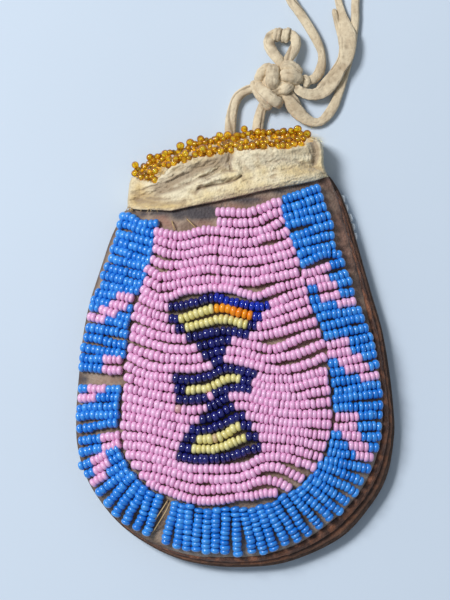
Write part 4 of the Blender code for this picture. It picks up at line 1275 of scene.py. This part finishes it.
# %% [markdown]
# ### The back panel
# The back is a flat sheet, a little larger than the front at the right and the foot. It was cut
# from the same leather and has darkened along its edge.

# %% The back panel
back_edge = seen(smooth_curve(BACK_EDGE, EDGE_STATIONS), BACK_TOP)[:, :2]
back_points, faces, out = sheet_rings(back_edge, 12, lambda xy: np.full(len(xy), BACK_TOP))
back_leather = make_object("back_leather", back_points, faces, [PANEL_LEATHER])
give_values(back_leather, "hollow", np.clip((out - 0.90) / 0.05, 0, 1))
thicken(back_leather, BACK_LEATHER)
seat(back_leather, "leather", "back_panel")
print("back panel in mm:", np.ptp(back_edge, axis=0).round(4) * 1000)

# %% [markdown]
# ## The rim
# Between the panels runs a welt, and the raw edges of all three layers are rolled outwards, so two
# rounded strips show with a dark groove between them. The inner one is the turned edge of the
# front, the outer one belongs to the back and has been rubbed red. Towards its outer side it is also
# painted lighter, as painted light where it turns away from the lamp. Its leather is streaked along
# the strip, so the noise is stretched by how far along and across the strip a point lies.


# %% Finish of the rim
def times(tree, value, factor):
    """A value socket multiplied by a plain number."""
    made = add_node(tree, "ShaderNodeMath", {0: value}, operation="MULTIPLY")
    made.inputs[1].default_value = factor
    return made.outputs[0]


def build_rim_leather():
    """Old polished leather with streaks that run along the strip, rubbed red on its crests, and painted
    lighter on the outer strip as painted light.
    """
    paint, tree, shader = new_material("rim_leather", roughness=0.62, IOR=1.38)
    across = kept_value(tree, "across")
    stretched = {"X": times(tree, kept_value(tree, "run"), 160), "Y": times(tree, across, 5)}
    place = {"Vector": add_node(tree, "ShaderNodeCombineXYZ", stretched).outputs[0]}
    noisy = add_node(tree, "ShaderNodeTexNoise", place, Scale=2.2, Detail=6.0, Roughness=0.65)
    streaks = noisy.outputs["Fac"]
    patches = use_group(tree, STAINS, Size=330.0, Cover=0.48, Edge=0.10)["Mask"]
    body = mix_colours(tree, span(tree, streaks, 0.35, 0.65), (0.080, 0.037, 0.026), (0.285, 0.137, 0.088))
    worn = mix_colours(tree, span(tree, patches, 0.0, 1.0, 0.0, 0.85), body, (0.43, 0.168, 0.085))
    # Lighter and redder on the outer strip: partly its own rubbed red, partly painted light where it turns
    # away from the lamp.
    edge = mix_colours(tree, span(tree, across, 0.54, 0.90, 0.0, 0.66), worn, (0.50, 0.265, 0.170))
    grooved = span(tree, kept_value(tree, "hollow"), 0.1, 0.9, 0.0, 0.90)
    tree.links.new(mix_colours(tree, grooved, edge, (0.020, 0.011, 0.009)), shader.inputs["Base Color"])
    grain = use_group(tree, GRAIN)["Height"]
    height = add_node(tree, "ShaderNodeMath", {0: grain, 1: streaks}, operation="ADD").outputs[0]
    bumps(tree, shader, height, 0.00040)
    return paint


RIM_LEATHER = build_rim_leather()
print("finish:", RIM_LEATHER.name)

# %% [markdown]
# ### Its two strips
# A curve with a bevel would give one round tube. The rim needs a section with two lobes that leans
# from the front's edge down to the back's, so the section is written as a swell above the line
# between both edges and is swept round the U.

# %% Two rolled strips
RIM_SWELL = 0.00070
GROOVE_AT = 0.52
RIM_STEPS = 15
RIM_DEPTH = 0.0016
RIM_TUCK = 0.0013


def rim_band(count=420, skip=14):
    """A swept band whose section has two rounded lobes from the front's edge to the back's."""
    over = smooth_curve(FRONT_EDGE, count)[skip:-skip]
    under = smooth_curve(BACK_EDGE, count)[skip:-skip]
    top, low = seen(over, FRONT_TOP - 0.0001), seen(under, BACK_UNDER + 0.0002)
    ahead = np.gradient((top + low) / 2, axis=0)
    out = np.stack([-ahead[:, 1], ahead[:, 0], np.zeros(len(ahead))], axis=1)
    out /= np.linalg.norm(out, axis=1)[:, None]
    if out[0, 0] > 0:
        out = -out
    wide = np.sum((low - top) * out, axis=1)[:, None]
    tuck = np.clip(RIM_TUCK - wide / 2, 0, RIM_TUCK)
    top, low = top - out * tuck, low - out * np.maximum(tuck, RIM_SWELL * 1.1)
    down = (low - top) / np.linalg.norm(low - top, axis=1)[:, None]
    normal = out - down * np.sum(out * down, axis=1)[:, None]
    normal /= np.linalg.norm(normal, axis=1)[:, None]
    share = np.linspace(0, 1, RIM_STEPS)
    lobe = np.where(share < GROOVE_AT, share / GROOVE_AT, (share - GROOVE_AT) / (1 - GROOVE_AT))
    swell = RIM_SWELL * np.sin(np.pi * lobe) ** 0.6
    wavy = np.array([1 + 0.25 * noise.noise(Vector((i * 0.05, 0, 0))) for i in range(len(top))])
    rings = [top + (low - top) * t + normal * (s * wavy)[:, None] for t, s in zip(share, swell)]
    rings += [low - out * RIM_DEPTH, top - out * RIM_DEPTH - (0, 0, 0.0009)]
    points = np.stack(rings, axis=1).reshape(-1, 3)
    across = np.tile([*share, 1, 0], len(top))
    along = np.repeat(run_along(top), len(rings))
    streaks = rough(np.column_stack([along * 1.2, across * 0.012, 0 * along]), 420, 0.00016)
    points += (rough(points, 700, 0.00008) + streaks)[:, None] * np.repeat(normal, len(rings), axis=0)
    faces = grid_faces(len(top), len(rings), closed=True)
    last = (len(top) - 1) * len(rings)
    faces += [tuple(range(len(rings)))[::-1], tuple(range(last, last + len(rings)))]
    groove = np.exp(-(((share - GROOVE_AT) / 0.09) ** 2)) + 0.7 * np.exp(-((share / 0.06) ** 2))
    made = make_object("rim_strips", points, faces, [RIM_LEATHER])
    give_values(made, "hollow", np.tile([*np.minimum(1, groove), 1, 1], len(top)))
    give_values(made, "run", along)
    give_values(made, "across", across)
    return made


rim = rim_band()
seat(rim, "rim_leather", "seam_welt")
print("points of the rim:", len(rim.data.vertices))

# %% [markdown]
# ## The back
# The back of such a pouch is beaded too, in plain white rows. Only the ends of the upper rows peep
# past the right rim, and the rest of the rows carry on in the same way. Each row is as long as the
# panel's outline lets it be, which is found by cutting the outline with the row's two sides.

# %% The longest row inside an outline
BACK_PITCH = 9.7 * SQUARE
BACK_START = 0.0040
BACK_MARGIN = 0.0014
BACK_BEAD_LENGTH = 0.00125
# Where the ends of the upper rows show on the chart
PEEPING = [(343, 199), (346, 208), (350, 218), (352.5, 227), (355, 237)]


def row_span(edge, place, heading):
    """Ends of the longest row through place that stays inside an outline with both its sides."""
    aside = np.array((-heading[1], heading[0]))
    reach = []
    for shift in (-BEAD_RADIUS, BEAD_RADIUS):
        off = (edge - place) @ aside - shift
        hits = np.nonzero(off[:-1] * off[1:] < 0)[0]
        if len(hits) < 2:
            return None
        crossed = [edge[i] + (edge[i + 1] - edge[i]) * off[i] / (off[i] - off[i + 1]) for i in hits]
        reach.append(sorted((point - place) @ heading for point in crossed))
    start, end = max(side[0] for side in reach), min(side[-1] for side in reach)
    return place + heading * (start + BACK_MARGIN), place + heading * (end - BACK_MARGIN)


# %% Rows on the back
def back_beads():
    """All beads of the back."""
    ends = seen([(129, 207), (325, 176)], BACK_UNDER)[:, :2]
    heading = (ends[1] - ends[0]) / np.linalg.norm(ends[1] - ends[0])
    down = np.array((heading[1], -heading[0]))
    place = ends[0] + down * (BACK_PITCH + BACK_START)
    rng = random.Random("back")
    beads, number = [], 0
    radius = BEAD_DIAMETER / 2
    while ends := row_span(back_edge, place, heading):
        left, right = ends
        if number < len(PEEPING):
            right = seen(PEEPING[number], radius)[0, :2]
        count = round((right - left) @ heading / BACK_BEAD_LENGTH)
        if count >= 5:
            for step in range(count + 1):
                centre = (*(left + (right - left) * step / count), radius)
                size = (BACK_BEAD_LENGTH, radius)
                beads.append((centre, (*heading, 0), (0, 0, 1), *size, 0, rng.random()))
        place, number = place + down * BACK_PITCH, number + 1
    return beads


beads = back_beads()
seat(make_beads("back_beads", beads, SMALL_BARREL, [GLASS_PAINTS["W"]]), "seed_beads", "back_panel")
print("beads on the back:", len(beads))

# %% [markdown]
# ## The cuff
# The cuff is smoke-tanned buckskin, soft and stretchy, which has crumpled and set. A cloth
# simulation would crumple it in its own way, not in this one, so its outline and its folds are
# drawn on the chart instead.

# %% Outline of the cuff
CUFF_FOOT = [
    (128, 210), (149, 210), (171, 211), (193, 206), (214, 202), (237, 197), (266, 190), (296, 185),
    (315, 181), (326, 177),
]
CUFF_BACK_FOOT = [(130, 207), (190, 208), (230, 200), (280, 190), (324, 176)]
FRONT_RIM = [
    (134, 177), (142, 180), (150, 182), (156, 181), (161, 176), (169, 169), (173, 164), (190, 160),
    (204, 156), (219, 154), (240, 150), (263, 149), (287, 147), (306, 144), (318, 141),
]
BACK_RIM = [
    (136, 173), (146, 166), (160, 161), (180, 154), (205, 146), (235, 139), (265, 137), (292, 136),
    (304, 135), (312, 137),
]
CUFF_LEFT = [(130, 208), (130, 200), (131, 190), (132, 183), (134, 177)]
CUFF_RIGHT = [(326, 177), (323, 171), (321, 164), (321, 158), (321, 151), (319.5, 144), (316, 139.5)]
HIDE_THICKNESS = 0.0009
HIDE_LIFT = CLEARANCE + 1.5 * HIDE_THICKNESS
CUFF_BULGE = 0.0006
SIDE_SHARE = 0.08
RIM_RAGS = 2.6
RIM_HEIGHT = THONG_DIAMETER + 2 * CLEARANCE
print("front of the cuff in mm:", round(length_of(CUFF_FOOT) * SQUARE * 1000), "along its foot")

# %% [markdown]
# ### Its folds
# Each large fold is a line on the chart, how wide it is above and below the line, and how far it
# stands out. A deep one sinks below the hide, and where it does, the hide is painted darker, as
# painted shade with some dirt. Between them run many small creases, strewn over patches where the
# hide is crumpled most.

# %% Large folds
# Each fold: its line, its widths above and below in squares, and its height in millimetres
FOLDS = [
    ([(229, 157), (208, 164), (182, 177), (158, 189)], 5, 5, -0.75),
    ([(230, 153), (229, 161), (231, 169)], 1.6, 1.6, -0.6),
    ([(155, 195), (178, 188), (200, 178), (225, 166), (232, 156)], 1.6, 2.4, -0.4),
    ([(147, 198), (158, 199), (170, 199)], 1.4, 1.8, -0.35),
    ([(138, 187), (147, 186), (156, 190)], 6, 5, 0.45),
    ([(200, 198), (240, 189), (280, 181), (318, 174)], 7, 4, 0.6),
    ([(202, 185), (214, 180), (227, 177), (237, 175)], 3.2, 2.0, 0.75),
    ([(198, 189), (209, 186), (222, 184), (236, 180), (241, 176)], 1.0, 1.2, -0.8),
    ([(200, 183), (213, 177), (226, 171), (237, 171)], 1.3, 1.0, -0.35),
    ([(196, 193), (199, 189), (202, 186)], 2.2, 1.8, -0.5),
    ([(311, 140), (315, 147), (316, 155), (314, 163)], 3.0, 3.2, -0.6),
    ([(306, 146), (310, 152), (311, 160)], 2.2, 2.2, 0.3),
    ([(296, 160), (306, 166), (322, 169)], 2.0, 3.0, -0.3),
    ([(244, 168), (262, 164), (290, 160)], 2.6, 3.4, -0.25),
    ([(255, 156), (275, 157), (300, 152)], 2.2, 2.6, -0.2),
    ([(136, 199), (160, 205), (186, 201)], 2.4, 2.0, -0.28),
    ([(172, 171), (186, 168), (200, 163)], 1.8, 2.2, -0.3),
    ([(166, 181), (180, 173), (192, 171)], 1.6, 1.4, 0.3),
    ([(240, 160), (243, 176), (250, 184)], 2.4, 2.4, -0.2),
    ([(222, 157), (214, 166), (203, 171)], 1.3, 1.1, 0.35),
    ([(207, 160), (198, 170), (186, 176)], 1.2, 1.2, 0.3),
    ([(190, 164), (180, 174), (170, 180)], 1.4, 1.2, 0.3),
    ([(224, 163), (212, 173), (196, 179)], 1.0, 1.1, -0.3),
    ([(176, 184), (166, 188), (156, 189)], 1.2, 1.4, -0.3),
]

# %% Small creases
# The middle of each patch, its half sizes, the way its creases run and how many there are
SMALL_CREASES = [
    ((193, 170), (32, 10), (0.87, -0.49), 46), ((152, 195), (19, 9), (0.97, -0.22), 22),
    ((314, 152), (6, 11), (0.2, 0.98), 9), ((265, 172), (45, 12), (0.95, -0.3), 20),
]
rng = random.Random("creases")
for (x, y), (half_x, half_y), heading, count in SMALL_CREASES:
    for _ in range(count):
        middle = np.array((x + half_x * rng.uniform(-1, 1), y + half_y * rng.uniform(-1, 1)))
        half = np.array(heading) * rng.uniform(3, 9)
        bend = np.array((-heading[1], heading[0])) * rng.uniform(-1.4, 1.4)
        width = rng.uniform(0.7, 1.2)
        height = rng.choice((-0.24, -0.17, -0.10, 0.14))
        FOLDS.append(([middle - half, middle + bend, middle + half], width, width, height))
print("folds and creases:", len(FOLDS))


# %% How far the folds lift the hide
def fold_relief(places):
    """How far the folds lift the hide at chart places, and how deep each place lies in a crease."""
    height, hollow = np.zeros(len(places)), np.zeros(len(places))
    for line, above, below, rise in FOLDS:
        line = np.array(line, float)
        nearest, side = np.full(len(places), np.inf), np.zeros(len(places))
        for a, b in zip(line, line[1:]):
            along = b - a
            share = np.clip((places - a) @ along / (along @ along), 0, 1)
            off = places - a - share[:, None] * along
            distance = np.linalg.norm(off, axis=1)
            turn = off[:, 0] * along[1] - off[:, 1] * along[0]
            side = np.where(distance < nearest, turn, side)
            nearest = np.minimum(nearest, distance)
        shape = np.exp(-((nearest / np.where(side > 0, above, below)) ** 2))
        height += rise / 1000 * shape
        if rise < 0:
            hollow = np.maximum(hollow, shape * min(1, -rise / 0.6))
    return height, hollow


# %% [markdown]
# ### Smoke, grease, dirt and painted shade
# Smoke has turned the hide golden in places, hands have soiled it, and its nap is rough where it is
# crumpled. Some of the dark spots are painted shade, in the valley below the front rim and in the
# fold at the right end. These are soft spots as on the leather, each a chart place, half sizes and
# a strength.

# %% Spots of the hide
# Dark spots: dirt, and painted shade in the valley below the front rim and in the fold at the right end.
SHADE_AND_DIRT_SPOTS = [
    (205, 164, 26, 7, 0.38), (228, 160, 5, 9, 0.25), (176, 190, 22, 5, 0.22), (150, 201, 20, 4, 0.3),
    (160, 184, 8, 6, 0.25), (300, 149, 16, 4, 0.22), (317, 150, 7, 16, 0.42), (262, 158, 24, 3, 0.12),
    (206, 187, 9, 3, 0.3), (190, 203, 24, 2, 0.15), (145, 196, 18, 9, 0.16), (175, 176, 14, 8, 0.18),
]
GOLDEN = [
    (142, 200, 18, 9, 1.2), (168, 206, 22, 4, 1.0), (302, 170, 24, 6, 0.9), (258, 186, 40, 4, 0.4),
    (139, 186, 7, 8, 0.8), (222, 193, 26, 3, 0.2), (292, 152, 16, 4, 0.4),
]
# Where the hide is crumpled most
CRUMPLED = [(195, 172, 34, 16, 1.0), (155, 193, 18, 12, 0.6), (314, 150, 10, 14, 0.8)]
print("spots of the hide:", len(SHADE_AND_DIRT_SPOTS) + len(GOLDEN) + len(CRUMPLED))

# %% [markdown]
# ### Finish of the hide
# Buckskin is matt and looks like suede, so its roughness is high and a sheen lifts its edges. The
# colours are laid on in the order in which they came to the real hide: the pale skin, the gold of
# the smoke, specks of dirt, and last the brown of the creases, which is dirt together with painted
# shade.


# %% Finish of the hide
def build_buckskin():
    """Smoke-tanned buckskin: matt, suede-like, yellow with grease, and brown in its creases with grime and
    painted shade.
    """
    paint, tree, shader = new_material("cuff_buckskin", roughness=0.92)
    grease = use_group(tree, STAINS, Size=110.0, Cover=0.46, Edge=0.16)["Mask"]
    darkening = use_group(tree, STAINS, Size=520.0, Cover=0.54, Edge=0.12)["Mask"]
    smoked = span(tree, kept_value(tree, "golden"), 0.0, 1.0, 0.0, 0.85)
    # The brown of the creases is painted shade with some dirt.
    browned = span(tree, kept_value(tree, "hollow"), 0.06, 0.9, 0.0, 0.80)
    plain = mix_colours(tree, grease, (0.93, 0.82, 0.585), (0.87, 0.71, 0.41))
    skin = mix_colours(tree, smoked, plain, (0.73, 0.52, 0.215))
    marked = mix_colours(tree, span(tree, darkening, 0.0, 1.0, 0.0, 0.50), skin, (0.44, 0.30, 0.16))
    creased = mix_colours(tree, browned, marked, (0.32, 0.225, 0.145))
    tree.links.new(creased, shader.inputs["Base Color"])
    shader.inputs["Sheen Weight"].default_value = 0.3
    bumps(tree, shader, use_group(tree, GRAIN, Pores=1700.0, Creases=800.0)["Height"], 0.00030)
    return paint


CUFF_HIDE = build_buckskin()
print("finish:", CUFF_HIDE.name)

# %% [markdown]
# ### The band
# The cuff is one band: a front wall that follows the dome, a back wall that lies low, and a turn at
# each side that joins them. Each wall is a grid from the foot to the rim. The front one is lifted
# by the folds and by fine wrinkles, and its upper edge is a little ragged.


# %% The skin of each wall
def front_skin(places, level):
    """Points of the front wall at one level, and how dark each is, with grime and painted shade in its folds
    and wrinkles.
    """
    relief, hollow = fold_relief(places)
    slanted = np.column_stack([places @ (0.090, -0.040), places @ (0.045, 0.200)])
    wrinkles = np.array([noise.fractal(Vector((u, v, 0)), 0.85, 2.1, 5) for u, v in slanted])
    crumple = 0.00020 + 0.00036 * np.clip(blotches(places, CRUMPLED), 0, 1)
    rolled = 0.0006 * min(1, (1 - level) / 0.1, level / 0.1) ** 0.5 - 0.0006
    hem = 0.5 * max(0, 1 - level / 0.05)
    # Darker in the deep folds and wrinkle troughs as painted shade, at the dark spots, and along the hem.
    darkening = hollow + 0.6 * np.clip(-wrinkles, 0, 1) + blotches(places, SHADE_AND_DIRT_SPOTS) + hem
    return on_front(places, HIDE_LIFT + relief + crumple * wrinkles + rolled), np.clip(darkening, 0, 1)


def back_skin(places, level):
    """Points of the back wall at one level, and how dark each is, with painted shade in its wrinkles."""
    under = BACK_UNDER - CLEARANCE - HIDE_THICKNESS
    wrinkles = np.array([noise.fractal(Vector((x * 0.06, y * 0.1, 9)), 0.9, 2.1, 4) for x, y in places])
    height = under + (RIM_HEIGHT - under) * level**2 + 0.0002 * wrinkles.clip(-1, 1)
    # The wrinkle troughs are painted darker, as shade.
    return seen(places, height), 0.5 * np.clip(-wrinkles, 0, 1)


# %% One wall of the cuff
def cuff_wall(foot, rim, levels, count, skin):
    """One side of the cuff, level by level: its points, how dark each is with grime and painted shade, and
    how golden each is.
    """
    shares = np.linspace(0, 1, count)
    low, high = along_route(foot, shares), along_route(rim, shares)
    near_left = np.clip(1 - shares / SIDE_SHARE, 0, 1)[:, None] ** 2
    near_right = np.clip(1 - (1 - shares) / SIDE_SHARE, 0, 1)[:, None] ** 2
    wall = []
    for level in np.linspace(0, 1, levels):
        places = low + (high - low) * level
        ragged = RIM_RAGS * max(0, 1 - (1 - level) / 0.15)
        places[:, 1] += ragged * np.array([noise.noise(Vector((x * 0.35, 3.1, 0))) for x in places[:, 0]])
        places = places + near_left * (along_route(CUFF_LEFT, [level]) - places[:1])
        places = places + near_right * (along_route(CUFF_RIGHT, [level]) - places[-1:])
        wall.append((*skin(places, level), np.clip(blotches(places, GOLDEN), 0, 1)))
    return wall


def turn_between(start, end, bulge, steps=9):
    """Points that turn from one wall round to the other, at one level."""
    angles = np.linspace(0, np.pi, steps + 2)[1:-1]
    middle, half = (start + end) / 2, (start - end) / 2
    return middle + np.cos(angles)[:, None] * half + np.sin(angles)[:, None] * np.array((bulge, 0, 0))


# %% The whole band
LEVELS, FRONT_COLUMNS, BACK_COLUMNS = 60, 310, 60
CUFF_SHEET = 0.0008
front_wall = cuff_wall(CUFF_FOOT, FRONT_RIM, LEVELS, FRONT_COLUMNS, front_skin)
back_wall = cuff_wall(CUFF_BACK_FOOT, BACK_RIM, LEVELS, BACK_COLUMNS, back_skin)
rings, hollows, golds = [], [], []
for (front, darkening, gold), (back, back_darkening, back_gold) in zip(front_wall, back_wall):
    right = turn_between(front[-1], back[-1], CUFF_BULGE)
    left = turn_between(back[0], front[0], -CUFF_BULGE)
    rings.append(np.concatenate([front, right, back[::-1], left]))
    side = np.full(len(right), 1.0)
    hollows.append(np.concatenate([darkening, 0.25 * side, back_darkening[::-1], 0.25 * side]))
    golds.append(np.concatenate([gold, gold[-1] * side, back_gold[::-1], gold[0] * side]))
faces = grid_faces(LEVELS, len(rings[0]), closed=True)
cuff = make_object("cuff_hide", np.concatenate(rings), faces, [CUFF_HIDE])
give_values(cuff, "hollow", np.concatenate(hollows))
give_values(cuff, "golden", np.concatenate(golds))
thicken(cuff, CUFF_SHEET)
seat(cuff, "buckskin", "hide_cuff")
print("points of the cuff:", len(cuff.data.vertices))

# %% [markdown]
# ### Frayed fibres
# Where the hem has torn at the left, fibres of the hide stick out over the leather and the beads.
# Hair curves would be hard to place one by one, so each fibre is a thin tube through three points.

# %% Frayed fibres
FIBRE_COUNT = 11
FRAYED = [(127, 208), (136, 209), (149, 209), (160, 210)]


def fray_hem():
    """Fine fibres that start under the hem and end just below it."""
    rng = random.Random("fibres")
    parts = []
    for _ in range(FIBRE_COUNT):
        x, y = along_route(FRAYED, [rng.random() ** 1.3])[0]
        lean, drop = rng.uniform(-5, 6), rng.uniform(1.5, 4.5)
        route = [(x, y - 1.5), (x + 0.35 * lean, y + 0.3 * drop), (x + lean, y + drop)]
        lifts = (0.0008, 0.0012 + rng.uniform(0, 0.0006), 0.0009 + rng.uniform(0, 0.0012))
        line = np.concatenate([on_front([place], lift) for place, lift in zip(route, lifts)])
        parts.append(tube_mesh(smooth_curve(line, 8), rng.uniform(0.00005, 0.00009), sides=4))
    return make_object("cuff_fibres", *join_meshes(parts), [SINEW])


seat(fray_hem(), "buckskin")
print("fibres:", FIBRE_COUNT)

# %% [markdown]
# ## Edge beads
# Clear amber beads are sewn along both rims of the cuff in little loops, so they stand in several
# layers. Their glass is clear: it bends the light that passes, is darker at a bead's edge, where
# the light goes a long way through it, and throws an amber shadow. The shadow is a second shader
# that only rays towards the lamp meet, because light that glass bends finds the lamp too seldom.

# %% Amber glass
AMBER_SHADE = (0.80, 0.67, 0.26)


def build_amber():
    """Clear amber glass, darker at a bead's edge, which lets the lamp's light through as amber."""
    paint, tree, shader = new_material("amber_glass", roughness=0.02, Transmission_Weight=0.75, IOR=1.5)
    tint = use_group(tree, TINT)
    core = mix_colours(tree, tint["Pale"], (1.0, 0.69, 0.014), (1.0, 0.88, 0.07))
    rim = add_node(tree, "ShaderNodeLayerWeight", Blend=0.6).outputs["Facing"]
    body = mix_colours(tree, span(tree, rim, 0.07, 0.38), core, (1.0, 0.50, 0.009))
    # The lower layer's dark amber is painted shade.
    deep = mix_colours(tree, tint["Odd"], body, (0.26, 0.095, 0.004))
    edge = mix_colours(tree, span(tree, rim, 0.32, 0.66, 0.0, 0.95), deep, (0.28, 0.088, 0.002))
    tree.links.new(edge, shader.inputs["Base Color"])
    from_lamp = add_node(tree, "ShaderNodeLightPath").outputs["Is Shadow Ray"]
    shade = add_node(tree, "ShaderNodeBsdfTransparent", Color=(*AMBER_SHADE, 1))
    sides = {0: from_lamp, 1: shader.outputs["BSDF"], 2: shade.outputs["BSDF"]}
    glass = add_node(tree, "ShaderNodeMixShader", sides)
    tree.links.new(glass.outputs[0], tree.nodes["Material Output"].inputs["Surface"])
    return paint


AMBER = build_amber()
print("finish:", AMBER.name)

# %% [markdown]
# ### Where the amber beads stand
# The outermost beads are placed one by one, and the layers between are filled by throwing darts: a
# place is kept if no bead is near it yet. Those near the front belong to the front rim and stand
# high, the others stand on the back rim. A layer lies below, seen through the gaps, and is painted
# darker, as painted shade.

# %% The outermost beads
FRONT_ROW = [
    (155, 180), (150, 172), (155, 171), (174, 163), (176, 159), (184, 160), (185, 153), (195, 155),
    (203, 149), (209, 153), (221, 151), (231, 150), (241, 148), (253, 146), (264, 146), (283, 145),
    (288, 146), (294, 144), (301, 144),
]
BACK_ROW = [
    (135, 165), (135, 173), (150, 157), (165, 154), (180, 146), (190, 143), (201, 139), (220, 135),
    (228, 135), (244, 129), (258, 132), (269, 133), (283, 132), (291, 131), (298, 129), (307, 134),
]
print("outermost beads:", len(FRONT_ROW) + len(BACK_ROW))

# %% Filling the fringe
FRONT_FRINGE = [
    (138, 178), (150, 178), (160, 172), (174, 163), (195, 156), (222, 151), (252, 147), (283, 146),
    (304, 142),
]
BACK_FRINGE = [
    (136, 168), (150, 159), (165, 154), (180, 147), (201, 141), (228, 136), (258, 132), (283, 131),
    (308, 134),
]
# No beads stand round this place, nor nearer to each other than this, in squares
HOLLOW_PLACE, HOLLOW_SIZE = (164, 171), 6.5
NEAREST_BEADS = 4.8
DARTS = 6000


def fringe_places(kept, nearest, seed):
    """The kept beads, and more that fill the fringe round them. Each is its chart place and how far
    it stands from the front rim, 0, to the back rim, 1."""
    rng = random.Random(seed)
    kept = list(kept)
    for _ in range(DARTS):
        share, depth = rng.random(), rng.random()
        near, far = along_route(FRONT_FRINGE, [share])[0], along_route(BACK_FRINGE, [share])[0]
        place = near + (far - near) * depth
        if math.dist(place, HOLLOW_PLACE) < HOLLOW_SIZE:
            continue
        if all(math.dist(place, other[:2]) > nearest for other in kept):
            kept.append((*place, depth))
    return kept


outermost = [(*place, 0.0) for place in FRONT_ROW] + [(*place, 1.0) for place in BACK_ROW]
upper_layer = fringe_places(outermost, NEAREST_BEADS, "fringe")
lower_layer = fringe_places([], NEAREST_BEADS, "below")
print("places above and below:", len(upper_layer), len(lower_layer))

# %% The amber beads
EDGE_BEAD_RADIUS = 0.00092
LOWER_LAYER = 0.0013
rng = random.Random("amber")
fringes = {"front_edge_beads": [], "back_edge_beads": []}
upper = [(*place, 0.0, rng.random()) for place in upper_layer]
# The lower layer takes the darker tint, as painted shade.
lower = [(*place, LOWER_LAYER, STAINED_AND_SHADED_TINT) for place in lower_layer]
for number, (x, y, depth, sunk, tint) in enumerate(upper + lower):
    if depth < 0.5:
        height = front_top(seen((x, y), 0.012)[:, :2])[0] + HIDE_LIFT - 0.0006 - 0.0022 * depth - sunk
        name = "front_edge_beads"
    else:
        height = RIM_HEIGHT + 0.0008 + 0.0016 * (1 - depth) - sunk
        name = "back_edge_beads"
    axis = Vector((rng.gauss(0, 1), rng.gauss(0, 1), rng.gauss(0, 0.6))).normalized()
    size = EDGE_BEAD_RADIUS * (rng.uniform(0.98, 1.12) if number < len(outermost) else rng.uniform(0.74, 1.0))
    up = Vector((0.3, 0.2, 1)).cross(axis).normalized()
    fringes[name].append((tuple(seen((x, y), height)[0]), tuple(axis), tuple(up), size * 1.75, size, 0, tint))
for name, beads in fringes.items():
    seat(make_beads(name, beads, BALL, [AMBER]), "amber_beads", name.replace("edge", "rim"))
    print(name, len(beads))
